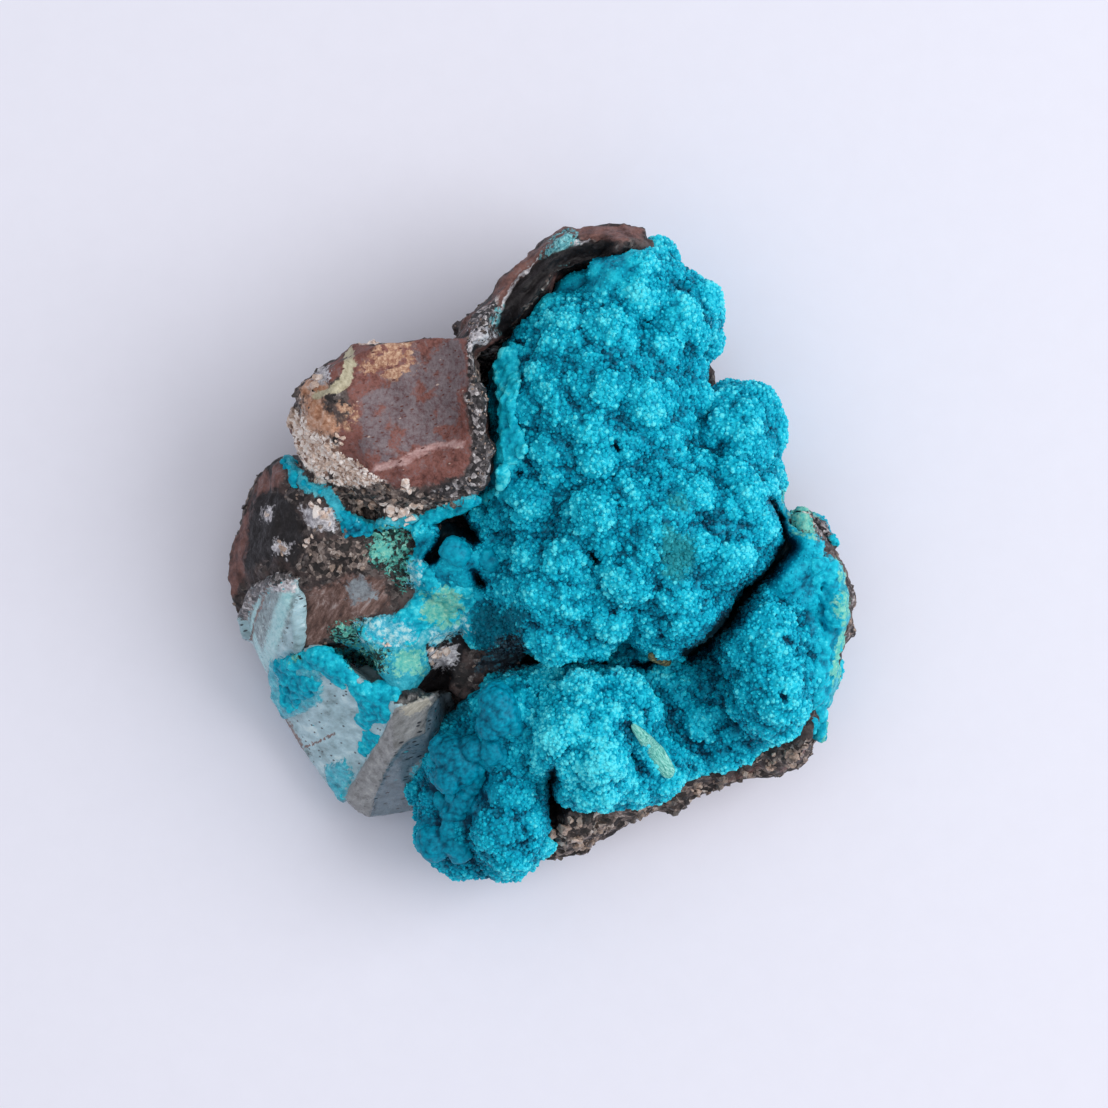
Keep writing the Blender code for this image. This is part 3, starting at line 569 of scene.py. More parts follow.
def plain_material(name, values):
    """A Principled material with these values: the material, its nodes and its shader."""
    material = bpy.data.materials.new(name)
    material.use_nodes = True
    shader = material.node_tree.nodes["Principled BSDF"]
    for socket, value in values.items():
        shader.inputs[socket].default_value = value
    return material, material.node_tree, shader


def new_material(name, base, layers, roughness, bump, gloss=0.5, dots=(), more=None):
    """A Principled material: a base pattern with a ragged patch of another pattern over it per layer.

    layers, dots and bump are rows like those below; roughness is the range that the clouds move in; more
    are other values of the shader.
    """
    values = {"IOR": QUARTZ_IOR, "Specular IOR Level": gloss, "Coat Roughness": COAT_ROUGHNESS}
    material, tree, shader = plain_material(name, values | (more or {}))
    colour = base(tree)
    for label, kind, size, stops, amount, edge, *patch in layers:
        mask = ragged(tree, attribute(tree, label), *(patch or [PATCH_SIZE]), amount=amount, edge=edge)
        colour = over(tree, colour, pattern(tree, kind, size, stops), mask)
    for label, size, share, width, dot_colour in dots:
        in_zone = step(tree, attribute(tree, label), 0.3, 0.7)
        mask = maths(tree, "MULTIPLY", specks(tree, size, share, width), in_zone)
        colour = over(tree, colour, dot_colour, mask)
    tree.links.new(colour, shader.inputs["Base Color"])
    rough = add_node(tree, "MapRange", {"Value": cloud(tree, 0.7), "From Min": 0.3, "From Max": 0.7,
                                        "To Min": roughness[0], "To Max": roughness[1]})
    tree.links.new(rough.outputs[0], shader.inputs["Roughness"])
    *sizes, strength, depth = bump
    inputs = {"Height": bump_height(tree, *sizes), "Strength": strength, "Distance": depth * MM}
    tree.links.new(add_node(tree, "Bump", inputs).outputs[0], shader.inputs["Normal"])
    return material


# Palettes: places along a pattern's range, each with its red, green and blue, all in thousandths.
ROCK = [(50, 10, 8, 9), (350, 28, 22, 23), (550, 75, 60, 58), (750, 150, 125, 120), (950, 420, 370, 350)]
BROAD_ROCK = [(350, 25, 20, 21), (550, 85, 55, 52), (750, 150, 125, 120)]
PALE_GRAIN = [(50, 220, 130, 100), (200, 460, 300, 230), (400, 680, 520, 440), (600, 820, 720, 670),
              (900, 900, 870, 870)]
MIXED_GRAIN = [(50, 14, 11, 11), (320, 50, 38, 36), (500, 120, 92, 86), (700, 260, 200, 175),
               (950, 600, 540, 510)]
DARK_GRAIN = [(100, 20, 18, 20), (360, 60, 55, 60), (520, 160, 140, 145), (700, 330, 300, 310),
              (950, 780, 750, 770)]
RUST = [(250, 35, 20, 20), (420, 120, 60, 56), (560, 220, 105, 90), (720, 200, 170, 180)]
SCOOP_RED = [(300, 60, 22, 20), (420, 160, 58, 48), (520, 235, 90, 75), (600, 200, 110, 110),
             (700, 340, 220, 200)]
SCOOP_GREY = [(300, 90, 35, 35), (400, 150, 90, 100), (500, 185, 145, 160), (660, 235, 190, 205),
              (780, 360, 290, 300)]
OCHRE = [(320, 220, 80, 55), (460, 380, 200, 130), (560, 560, 350, 240), (700, 750, 560, 400)]
SALMON = [(250, 200, 70, 30), (420, 450, 210, 120), (580, 660, 400, 290), (750, 820, 680, 600)]
OLIVE = [(300, 360, 310, 200), (600, 620, 570, 420)]
QUARTZ = [(250, 120, 115, 130), (450, 420, 400, 440), (620, 850, 830, 870)]
# Painted highlight of the scoop's lower lip, over its pink tint.
LIP_HIGHLIGHT = [(300, 300, 130, 120), (600, 550, 360, 350), (800, 700, 550, 550)]
BLACK = [(300, 5, 4, 5), (550, 18, 15, 17), (800, 60, 52, 58)]
PAINTED_SHADE_BLUE = [(300, 2, 6, 8), (600, 5, 22, 32), (800, 10, 60, 85)]
# Painted shade of the crust's clefts and caves.
BROWN = [(300, 30, 16, 16), (430, 110, 60, 50), (540, 200, 120, 105), (700, 420, 340, 330)]
BLUE_GREY = [(300, 100, 90, 100), (600, 300, 340, 380)]
TEAL = [(250, 2, 100, 160), (400, 8, 300, 420), (550, 40, 500, 640), (720, 280, 720, 780)]
STAIN = [(320, 20, 25, 30), (430, 60, 300, 360), (580, 260, 620, 660), (740, 620, 820, 820)]
MALACHITE = [(50, 6, 10, 10), (360, 12, 40, 36), (460, 25, 220, 200), (700, 110, 460, 380),
             (950, 420, 760, 630)]
PALE_GREEN = [(250, 10, 320, 380), (420, 80, 500, 460), (580, 240, 640, 520), (750, 500, 780, 620)]
SPECKLED = [(100, 8, 12, 20), (450, 20, 40, 60), (650, 50, 85, 110), (900, 10, 220, 320)]
SHEET = [(300, 0, 50, 90), (500, 1, 140, 220), (700, 3, 270, 380)]
MURKY = [(300, 5, 200, 260), (700, 30, 360, 420)]
SKY = [(300, 6, 260, 430), (460, 60, 480, 650), (600, 500, 800, 830)]
CHALCEDONY = [(280, 130, 210, 230), (420, 300, 460, 520), (560, 420, 620, 700), (720, 680, 840, 880)]
# A cream painted highlight at the top of the prism face.
CREAM_HIGHLIGHT = [(300, 240, 220, 180), (500, 420, 400, 350), (700, 680, 660, 600)]
GLASS = [(300, 12, 14, 18), (550, 30, 33, 36), (750, 100, 100, 100)]
PRISM = [(300, 100, 100, 100), (450, 200, 205, 210), (580, 290, 300, 310), (750, 500, 500, 490)]
FACE_GREY = [(300, 50, 75, 85), (440, 150, 210, 235), (560, 270, 380, 410), (720, 620, 740, 760)]
DARK_FACE = [(250, 70, 90, 110), (500, 150, 210, 260), (750, 260, 340, 400)]
FACE_BLUE = [(250, 180, 500, 570), (600, 500, 780, 820)]
DRUSE = [(0, 0, 35, 75), (200, 0, 110, 190), (450, 0, 270, 420), (680, 3, 440, 610), (860, 16, 590, 760),
         (1000, 100, 770, 880)]
CHIP = [(0, 15, 12, 13), (300, 90, 70, 65), (500, 280, 200, 160), (720, 620, 460, 380), (1000, 880, 810, 780)]
BLADE_GREEN = [(320, 10, 150, 150), (450, 110, 460, 400), (580, 250, 660, 590), (740, 620, 880, 810)]
CRUMB_OLIVE = [(360, 12, 14, 6), (460, 60, 66, 28), (560, 150, 145, 60), (680, 360, 330, 150)]

# Patterns over a base, each where its zone is: zone, kind, size, colours, raggedness and edge, and maybe the
# size of the ragged patches.
PATCHES = [
    ("dark_patch", "grain", 0.4, DARK_GRAIN, 0.6, 0.15),
    ("speckled", "grain", 0.35, SPECKLED, 0.6, 0.25),
]
ROCK_LAYERS = [
    ("rust", "cloud", 1.2, RUST, 0.45, 0.25),
    ("black", "cloud", 0.9, BLACK, 0.45, 0.25),
    ("brown", "fibre", 0.7, BROWN, 0.7, 0.2),
    ("blue_grey", "cloud", 0.7, BLUE_GREY, 0.8, 0.2),
    ("dark_grain", "grain", 0.42, DARK_GRAIN, 0.5, 0.2),
    ("mixed_grain", "grain", 0.5, MIXED_GRAIN, 0.6, 0.2),
    ("pale_grain", "grain", 0.45, PALE_GRAIN, 0.6, 0.2),
    ("scoop", "cloud", 0.7, SCOOP_RED, 0.4, 0.2),
    ("scoop_grey", "cloud", 0.5, SCOOP_GREY, 2.6, 0.35, 1.7),
    ("ochre", "cloud", 0.4, OCHRE, 3.0, 0.35, 0.9),
    # Painted highlight along the scoop's lower lip.
    ("lip", "streak", 0.6, LIP_HIGHLIGHT, 0.7, 0.4),
    ("salmon", "cloud", 0.8, SALMON, 0.6, 0.3),
    ("quartz", "cloud", 0.5, QUARTZ, 0.8, 0.15),
    ("olive", "cloud", 0.5, OLIVE, 0.6, 0.15),
    ("light_stain", "cloud", 0.4, STAIN, 1.5, 0.2),
    ("film", "cloud", 0.9, TEAL, 0.5, 0.12),
    ("sky", "cloud", 0.7, SKY, 1.2, 0.2),
    ("malachite", "grain", 0.34, MALACHITE, 1.5, 0.15, 0.3),
    ("pale_green", "cloud", 0.5, PALE_GREEN, 1.2, 0.2),
    *PATCHES,
    # Painted shade: black in the clefts and caves.
    ("void", "cloud", 0.6, BLACK, 0.2, 0.25),
]
CRUST_LAYERS = [
    ("sheet", "cloud", 0.8, SHEET, 0.8, 0.2),
    ("murky", "cloud", 0.6, MURKY, 1.2, 0.4),
    ("sky", "cloud", 0.7, SKY, 1.3, 0.2),
    ("malachite", "grain", 0.5, MALACHITE, 1.2, 0.2),
    ("pale_green", "cloud", 0.5, PALE_GREEN, 1.3, 0.2),
    *PATCHES,
    # Painted shade: deep blue in the clefts and caves.
    ("void", "cloud", 0.6, PAINTED_SHADE_BLUE, 0.15, 0.3),
]
CHALCEDONY_LAYERS = [
    ("face_grey", "fibre", 0.5, FACE_GREY, 1.2, 0.3),
    ("face_blue", "streak", 0.5, FACE_BLUE, 0.6, 0.4),
    ("face_dark", "cloud", 1.0, DARK_FACE, 0.3, 0.12),
    ("face_glass", "streak", 0.8, GLASS, 0.4, 0.15),
    ("face_prism", "fibre", 0.7, PRISM, 0.15, 0.06),
    # A cream painted highlight at the top of the prism face.
    ("face_cream", "fibre", 0.5, CREAM_HIGHLIGHT, 1.0, 0.3),
    ("face_white", "cloud", 0.5, QUARTZ, 0.8, 0.2),
    ("face_rock", "grain", 0.45, DARK_GRAIN, 1.2, 0.2),
    ("face_crack", "cloud", 0.4, BROWN, 1.6, 0.2),
    ("face_edge", "cloud", 0.8, BROWN, 0.7, 0.2),
    ("face_teal", "cloud", 0.8, TEAL, 1.0, 0.2),
]
CHIP_LAYERS = [("film", "cloud", 0.6, TEAL, 0.5, 0.2)]
# Separate dashes: zone, size, share of the cells, width and colour.
ROCK_DOTS = [
    ("scoop", 0.45, 0.3, 0.3, (0.12, 0.04, 0.035)),
    ("scoop", 0.6, 0.12, 0.2, (0.5, 0.38, 0.34)),
]
CHALCEDONY_DOTS = [
    ("broad", 0.6, 0.4, 0.27, (0.03, 0.045, 0.06)),
    ("face_dark", 0.55, 0.5, 0.32, (0.012, 0.016, 0.024)),
    ("broad", 1.1, 0.25, 0.16, (0.03, 0.4, 0.48)),
]
# Bumps: round size, fine size, share of the fine, strength and depth.
ROCK_BUMP = (0.3, 0.16, 0.5, 0.8, 0.14)
CHALCEDONY_BUMP = (1.0, 0.25, 0.75, 0.45, 0.1)
CHIP_BUMP = (0.3, 0.12, 0.7, 0.5, 0.06)
BLADE_BUMP = (0.4, 0.1, 0.6, 0.4, 0.05)
CRUMB_BUMP = (0.2, 0.1, 0.6, 0.5, 0.05)
TRANSLUCENT = {"Coat Weight": 0.2, "Subsurface Weight": 0.25, "Subsurface Scale": MM,
               "Subsurface Radius": (0.8, 0.9, 1.0)}


def rock_base(tree):
    broad = ramp(tree, cloud(tree, 3.0), BROAD_ROCK)
    return over(tree, pattern(tree, "grain", 0.5, ROCK), broad, step(tree, cloud(tree, 1.6), 0.42, 0.6))


def own_tone(tree, shift, stops):
    """Colour by each point's own tone, with a shift."""
    return ramp(tree, maths(tree, "ADD", attribute(tree, "tone"), shift, clamp=True), stops)


def crust_base(tree, mottle=0.9):
    """Deep blue in the creases to pale turquoise on the tips, by the tone: painted shade in the creases and
    painted light on the tips.
    """
    fine = swing(tree, cloud(tree, 0.3, detail=5.0), mottle)
    return own_tone(tree, maths(tree, "ADD", fine, swing(tree, cloud(tree, 5.0), 0.4)), DRUSE)


def dome_base(tree):
    return crust_base(tree, 0.6)


def chip_base(tree):
    """From dark smoky to white."""
    return own_tone(tree, swing(tree, cloud(tree, 0.35, detail=5.0), 0.9), CHIP)


def blade_base(tree):
    """Pale green with fine grooves along the blade."""
    return ramp(tree, cloud(tree, 0.16, *BLADE_GROOVES, detail=5.0), BLADE_GREEN)


def chalcedony_base(tree):
    return ramp(tree, cloud(tree, 1.3, *FACE_CLOUDS, detail=7.0), CHALCEDONY)


def crumb_base(tree):
    return ramp(tree, cloud(tree, 0.28, detail=5.0), CRUMB_OLIVE)


def crust_material(name, bump_strength, base=crust_base):
    bump = (0.28, 0.12, 0.4, bump_strength, 0.1)
    return new_material(name, base, CRUST_LAYERS, (0.35, 0.6), bump, gloss=0.1)


# ---- the rock, the crust and the chalcedony ------------------------------------------------------

# Zones of the rock's sides and underside, which the plan doesn't reach: patch size, noise seed and how rare.
WALL_ZONES = {"rust": (9.0, 211, 0.0), "black": (7.0, 223, 0.1), "mixed_grain": (6.0, 227, 0.05),
              "dark_grain": (5.0, 229, 0.3), "pale_grain": (4.0, 241, 0.42)}
# How level the broad form is where its side begins and ends, and how far the edge between is uneven.
SIDE_LEVELS, SIDE_EDGE = (0.1, 0.4), (3.0, 57, 0.15)
# The rock's broken chunks, its broad swells, the grain of the scooped face, and the round bumps of a film:
# size, seed and height.
ROCK_CHUNKS = [(1.0, 11, 0.42), (0.6, 15, 0.2)]
ROCK_SWELLS, SCOOP_GRAIN = (3.0, 29, 0.35), (0.7, 33, 0.07)
ROCK_FILM = [(1.7, 91, 0.5), (0.8, 95, 0.2)]
FILM_RISE = 0.1
FOOT_LEVELS = (0.15, 1.2) # the flat base keeps no relief, and the rock has it all above these levels
HOLLOW_SHARE = 0.6        # of the crust's, where the rock lies in a cleft
MOST_EVEN = 0.88          # of its relief, that an even zone loses
# How much of its relief the rock loses in each zone, before the largest of them is taken.
ROCK_EVEN = {"scoop": 1.0, "brown": 0.8, "black": 0.6, "rust": 0.6}
ROCK_COVERED = ("scoop", "film", "black", "rust", "brown", "pale_grain")

# The crust's bumps: size, seed, height, and how much less of it where the crust is smooth.
CRUST_BUMPS = [(2.4, 71, 0.47, 0.2), (1.05, 73, 0.34, 0.14), (0.62, 75, 0.2, 0.05)]
CRUST_SWELL = 0.3         # the crust reaches over the thin gap that the solids keep from the rock
CRUST_SWELLS = (3.2, 77, 0.5)
MEAN_BUMP = 0.38
SINTER_ROUNDS = 4
# The crust's tone from 0 in the creases to 1 on the tips: its middle, and what is added by fine and broad
# relief as painted shade in the creases and painted light on the tips, where the crust is smooth, by painted
# shade round a cleft, and in some zones.
TONE = 0.44
TONE_RELIEF = [(6, 0.09, 0.26), (45, 0.45, 0.19)]   # smoothing rounds, height of a full step, share
TONE_EVEN, TONE_SHADE = -0.1, -0.3
CRUST_LEVELS = {"basin": -0.1, "foot": -0.22, "lower_dome": 0.15, "crown": 0.13}

# The chalcedony reaches over its own gap where the rock is nearer than this, and a little into the rock.
SEAM_REACH = 1.2
SEAM_OVERLAP = 0.1
FACE_RISE, FACE_SWELLS = 0.15, (1.5, 61, 0.06)
TEAL_RISE, TEAL_BUMPS = 0.15, [(1.2, 97, 0.4)]
PRISM_RISE, DARK_FACE_DROP = 0.7, 0.5
STEP_LEVELS = (3.0, 6.0)  # neither is seen below the first of these, and both are full above the second


def zone_names(layers):
    """The plan's zones among a material's layers, without the painted shade of clefts and caves."""
    return [layer[0] for layer in layers if layer[0] != "void"]


def solid_of(frame, node, voxel):
    return remeshed(frame["nodes"][node].data.copy(), voxel)


def sink(points, depth):
    """Lowers each point by its depth, but not below the lowest hollow."""
    points[:, 2] -= np.minimum(depth, np.maximum(points[:, 2] - LOWEST_HOLLOW, 0.0))


def build_rock(frame, material):
    points, faces = solid_of(frame, "host_rock", ROCK_VOXEL)
    points = smoothed(points, faces, 2)
    normals = vertex_normals(points, faces)
    broad_normals = vertex_normals(smoothed(points, faces, 12), faces)
    side = 1.0 - smoothstep(*SIDE_LEVELS, broad_normals[:, 2] + swells(points, *SIDE_EDGE))
    marks = {name: value * (1.0 - side) for name, value in zones(points, zone_names(ROCK_LAYERS)).items()}
    for name, (size, seed, rare) in WALL_ZONES.items():
        marks[name] += side * smoothstep(rare - 0.2, rare + 0.3, layered_noise(points, size, seed))
    # Painted shade in the clefts and caves.
    depth, marks["void"], _ = sunk(points)
    even = np.maximum.reduce([share * marks[name] for name, share in ROCK_EVEN.items()])
    off_base = smoothstep(*FOOT_LEVELS, points[:, 2])
    chunks = sum(height * (cell_noise(points, size, seed)[1] - 0.5) for size, seed, height in ROCK_CHUNKS)
    rough = (chunks + swells(points, *ROCK_SWELLS)) * (1.0 - MOST_EVEN * even)
    rough += marks["scoop"] * swells(points, *SCOOP_GRAIN)
    film = FILM_RISE + bumps(points, ROCK_FILM)
    cover = smoothstep(0.35, 0.75, marks["film"])
    points = points + normals * ((rough * (1.0 - cover) + film * cover) * off_base)[:, None]
    sink(points, HOLLOW_SHARE * depth)
    piece("rock_body", points, faces, material, ["host_rock"], marks)
    covered = np.maximum.reduce([marks[name] for name in ROCK_COVERED])
    return points, faces, marks | {"bare_rock": 1.0 - covered}


def build_crust(frame, material):
    points, faces = solid_of(frame, "chrysocolla_crust", CRUST_VOXEL)
    points = smoothed(points, faces, SINTER_ROUNDS)
    normals = vertex_normals(points, faces)
    even = zones(points, ["smooth"], 1.0, 1.4)["smooth"]
    rise = CRUST_SWELL - MEAN_BUMP + swells(points, *CRUST_SWELLS) * (1.0 - 0.5 * even)
    for size, seed, height, less in CRUST_BUMPS:
        rise += (height - less * even) * botryoids(points, size, seed)
    points = points + normals * rise[:, None]
    depth, dark, shade = sunk(points)
    sink(points, depth)
    tone = TONE + TONE_EVEN * even + TONE_SHADE * shade
    for rounds, full, share in TONE_RELIEF:
        tone += share * np.tanh(relief_of(points, faces, rounds) / full)
    for name, value in zones(points, CRUST_LEVELS, 0.8, 2.0).items():
        tone += CRUST_LEVELS[name] * value
    steep = 1.0 - smoothstep(0.1, 0.5, vertex_normals(points, faces)[:, 2])
    # Painted shade in the clefts and caves, a little weaker on steep walls.
    marks = zones(points, zone_names(CRUST_LAYERS)) | {"void": dark * (1.0 - 0.2 * steep), "tone": tone}
    piece("crust_body", points, faces, material, ["chrysocolla_crust"], marks)
    return points, faces, marks | {"even": even}


def build_chalcedony(frame, rock_tree, material):
    points, faces = solid_of(frame, "chalcedony_wedge", CHALCEDONY_VOXEL)
    normals = vertex_normals(points, faces)
    away = np.array([rock_tree.find_nearest(Vector(p), SEAM_REACH)[3] or SEAM_REACH for p in points])
    wall = (1.0 - smoothstep(0.6, SEAM_REACH, away)) * (1.0 - smoothstep(0.35, 0.75, normals[:, 2]))
    points = points + normals * (wall * (away + SEAM_OVERLAP))[:, None]
    marks = zones(points, zone_names(CHALCEDONY_LAYERS), 0.25, 0.5)
    marks["broad"] = 1.0 - np.maximum.reduce([marks["face_prism"], marks["face_blue"], marks["face_teal"]])
    prism, dark = (smoothstep(0.4, 0.6, marks[name]) for name in ("face_prism", "face_dark"))
    teal = smoothstep(0.4, 0.8, marks["face_teal"])
    rise = FACE_RISE + swells(points, *FACE_SWELLS) + teal * (TEAL_RISE + bumps(points, TEAL_BUMPS))
    points = points + normals * rise[:, None]
    step_up = PRISM_RISE * prism - DARK_FACE_DROP * dark * (1.0 - prism)
    points[:, 2] += step_up * smoothstep(*STEP_LEVELS, points[:, 2])
    piece("chalcedony_body", points, faces, material, ["chalcedony_wedge"], marks)
    return points, faces


# ---- the quartz druse ----------------------------------------------------------------------------

DRUSE_SPACING = 0.455
DRUSE_RADIUS = (0.16, 0.36)
DRUSE_HEIGHT = (0.14, 0.42)
DRUSE_TILT = 0.35
DRUSE_SIDES = 5
DRUSE_FOOT = 0.5          # a point's foot is this share of its radius below the surface
DRUSE_SHOULDER = (0.45, 0.86)   # its shoulder's height and width, as shares of its own
DRUSE_CLEARANCE = 0.55    # from the rock
DRUSE_SEED = 4127
TRIES_PER_CELL = 4.0
# What is added to the tone at the foot, the shoulder and the tip: painted shade at the foot and painted
# light at the tip.
DRUSE_TONES = (-0.14, 0.04, 0.14)
TONE_SPREAD = 0.11
# Patches of bigger and smaller points: size, noise seed and half their range.
DRUSE_PATCHES = (1.3, 205, 0.5)
# Where the crust is smooth: how many fewer points, how much narrower, lower and more alike in tone.
FEWER, NARROWER, LOWER, ALIKE = 0.6, 0.4, 0.6, 0.6
DARK_IS_BARE = 0.7        # no points grow where a cleft's painted shade is stronger than this
# The druse's pieces, from the front to the back, and the levels of Y between them.
DRUSE_BANDS = ("front", "middle", "upper", "back")
DRUSE_CUTS = [-16.0, -3.0, 9.0]


def spread_over(points, faces, spacing, rng):
    """One random point of the surface per cell of a grid: its place, triangle and weights."""
    corner = points[faces]
    area = np.linalg.norm(np.cross(corner[:, 1] - corner[:, 0], corner[:, 2] - corner[:, 0]), axis=1) / 2.0
    tries = int(area.sum() / spacing**2 * TRIES_PER_CELL)
    which = np.searchsorted(np.cumsum(area), rng.random(tries) * area.sum())
    which = np.minimum(which, len(faces) - 1)
    a, b = rng.random(tries), rng.random(tries)
    flip = a + b > 1.0
    a, b = np.where(flip, 1.0 - a, a), np.where(flip, 1.0 - b, b)
    weights = np.stack([1.0 - a - b, a, b], axis=1)
    places = np.einsum("ij,ijk->ik", weights, corner[which])
    _, first = np.unique(np.floor(places / spacing).astype(np.int64), axis=0, return_index=True)
    return places[first], which[first], weights[first]


def quartz_points(places, normals, radius, height, rng):
    """Closed stubby quartz points that stand on the surface: a foot below it, a shoulder and a tip."""
    count, n = len(places), DRUSE_SIDES
    lean = unit(normals + DRUSE_TILT * rng.standard_normal((count, 3)))
    side = unit(np.cross(lean, rng.standard_normal((count, 3))))
    across, upward = (share[None, :, None] for share in directions(n))
    wide = radius[:, None, None] * (across * side[:, None] + upward * np.cross(lean, side)[:, None])
    lean = lean[:, None]
    up, out = DRUSE_SHOULDER
    foot = places[:, None] - lean * (DRUSE_FOOT * radius)[:, None, None] + wide
    shoulder = places[:, None] + lean * (up * height)[:, None, None] + out * wide
    tip = places[:, None] + lean * height[:, None, None]
    points = np.concatenate([foot, shoulder, tip], axis=1)
    faces = [(0, i + 1, i) for i in range(1, n - 1)]
    for i in range(n):
        j = (i + 1) % n
        faces += [(i, j, n + j), (i, n + j, n + i), (n + i, n + j, 2 * n)]
    faces = np.array(faces)[None] + (np.arange(count) * (2 * n + 1))[:, None, None]
    return points.reshape(-1, 3), faces.reshape(-1, 3)


def inside_of(tree, point):
    """Whether a point is inside a closed mesh: the first face met from it shows its back."""
    hit, normal, _, _ = tree.ray_cast(Vector(point), Vector((0, 0, 1)))
    return hit is not None and normal.z > 0


def build_druse(crust, rock_tree, material):
    points, faces, marks = crust
    rng = np.random.default_rng(DRUSE_SEED)
    places, which, weights = spread_over(points, faces, DRUSE_SPACING, rng)
    clear = np.array([rock_tree.find_nearest(Vector(p), DRUSE_CLEARANCE)[0] is None for p in places])
    above = np.array([not inside_of(rock_tree, p) for p in places[clear]])
    keep = np.flatnonzero(clear)[above]
    corners = faces[which]

    def at(values):
        return np.einsum("ij,ij->i", weights, values[corners])
    even = smoothstep(0.3, 0.7, at(marks["even"]))
    bare = np.maximum(FEWER * even, at(marks["void"]) > DARK_IS_BARE)
    keep = keep[rng.random(len(keep)) > bare[keep]]
    places, corners, weights, even = places[keep], corners[keep], weights[keep], even[keep]
    normals = vertex_normals(points, faces)[corners[:, 0]]
    size = rng.random(len(places)) ** 1.5
    radius = between(DRUSE_RADIUS, size)
    height = between(DRUSE_HEIGHT, 0.6 * size + 0.4 * rng.random(len(places)))
    patch = 0.5 + swells(places, *DRUSE_PATCHES)
    radius *= (1.0 - NARROWER * even) * (0.8 + 0.4 * patch)
    height *= (1.0 - LOWER * even) * (0.6 + 0.8 * patch)
    own = rng.normal(0.0, TONE_SPREAD, len(places)) + 0.1 * (patch - 0.5)
    tone = at(marks["tone"]) + own * (1.0 - ALIKE * even)
    values = {name: at(marks[name]) for name in [*zone_names(CRUST_LAYERS), "void"]}
    # Painted shade at each point's foot and painted light at its tip.
    lighter = np.repeat(DRUSE_TONES, (DRUSE_SIDES, DRUSE_SIDES, 1))
    bands = np.digitize(places[:, 1], DRUSE_CUTS)
    for band, label in enumerate(DRUSE_BANDS):
        chosen = np.flatnonzero(bands == band)
        made, tris = quartz_points(places[chosen], normals[chosen], radius[chosen], height[chosen], rng)
        attributes = {name: np.repeat(value[chosen], len(lighter)) for name, value in values.items()}
        unlike = (1.0 - ALIKE * even[chosen])[:, None]
        attributes["tone"] = (tone[chosen][:, None] + lighter * unlike).ravel()
        piece("druse_" + label, made, tris, material, attributes=attributes, smooth=False)


# ---- loose grains --------------------------------------------------------------------------------

CHIP_SEED = 905
CHIP_POINTS = 12
CHIP_STRETCH = (0.7, 1.2)
CHIP_SUNK = 0.2           # of a scattered grain's half size, into the rock
LOWEST_CHIP = 2.0
CLUSTER = 7               # grains in the cluster that each listed grain heads
HEAD_SHARE, REST_SHARES = 0.8, (0.3, 0.6)   # of the listed half size
CLUSTER_SPREAD = 0.6
CLUSTER_SUNK = 0.12
CLUSTER_DARKER = 0.16     # at most, than the listed shade
SKY_LEVEL = 60.0          # above everything, to look down from

# Grains scattered in a zone of the rock: how many, their half sizes, and their shades.
SCATTERED_CHIPS = [
    ("pale_grain", 620, (0.14, 0.46), (0.64, 1.18)),
    ("mixed_grain", 900, (0.14, 0.56), (0.0, 0.5)),
    ("dark_grain", 420, (0.1, 0.28), (0.0, 0.75)),
    ("bare_rock", 380, (0.18, 0.5), (0.0, 0.56)),
]
# Grains of their own: x, y and half size in millimetres, and shade.
NAMED_CHIPS = [
    (-13.4, 7.0, 0.8, 1.0), (-15.0, 4.6, 1.0, 1.0), (-13.6, 4.0, 1.1, 0.95), (-12.4, 4.8, 0.7, 0.9),
    (-17.7, 4.9, 0.9, 0.62), (-22.4, 4.2, 0.9, 1.0), (-21.4, 3.6, 0.7, 0.9), (-23.2, 1.4, 0.6, 0.95),
    (-27.6, 4.0, 0.5, 0.95), (-25.8, 0.6, 0.6, 0.7), (-10.8, -10.0, 0.7, 0.85), (-9.6, -9.7, 0.7, 0.9),
    (-15.4, -9.1, 0.5, 0.95), (2.4, -27.6, 1.2, 0.66), (15.5, -24.0, 0.9, 0.6), (0.6, -29.8, 0.9, 0.66),
    (4.8, -29.2, 0.8, 0.56), (7.0, -29.2, 0.7, 0.52), (10.8, -27.2, 0.7, 0.5), (24.8, -20.1, 1.0, 0.58),
    (5.8, -27.2, 1.0, 0.42), (9.8, -26.1, 0.9, 0.5), (13.0, -25.2, 0.9, 0.4), (18.0, -23.2, 0.9, 0.5),
    (20.6, -22.2, 0.8, 0.56), (23.0, -21.2, 0.9, 0.66), (3.6, -29.4, 0.8, 0.6), (-24.6, 14.0, 0.8, 0.68),
    (-21.2, 9.2, 0.8, 0.85), (-19.0, 8.4, 0.7, 0.9), (-16.0, 6.6, 0.7, 0.45), (-19.7, 11.4, 0.6, 0.8),
    (-22.4, 16.6, 0.8, 0.78),
]


def on_top(tree, x, y):
    """The highest point of a surface at a place in the plan, or None."""
    return tree.ray_cast(Vector((x, y, SKY_LEVEL)), Vector((0, 0, -1)))[0]


def chips(places, sizes, shades, rng):
    """Closed angular grains, each the hull of a few random points, and the shade of each point."""
    verts, tris, tones = [], [], []
    for middle, size, shade in zip(places, sizes, shades):
        corners = unit(rng.standard_normal((CHIP_POINTS, 3))) * (size * rng.uniform(*CHIP_STRETCH, 3))
        mesh = bmesh.new()
        for p in corners + middle:
            mesh.verts.new(p)
        hull = bmesh.ops.convex_hull(mesh, input=mesh.verts)
        bmesh.ops.delete(mesh, geom=list({*hull["geom_interior"], *hull["geom_unused"]}), context="VERTS")
        mesh.verts.index_update()
        start = len(verts)
        verts += [tuple(v.co) for v in mesh.verts]
        tones += [shade] * len(mesh.verts)
        tris += [tuple(start + v.index for v in f.verts) for f in mesh.faces]
        mesh.free()
    return np.array(verts), np.array(tris), np.array(tones)


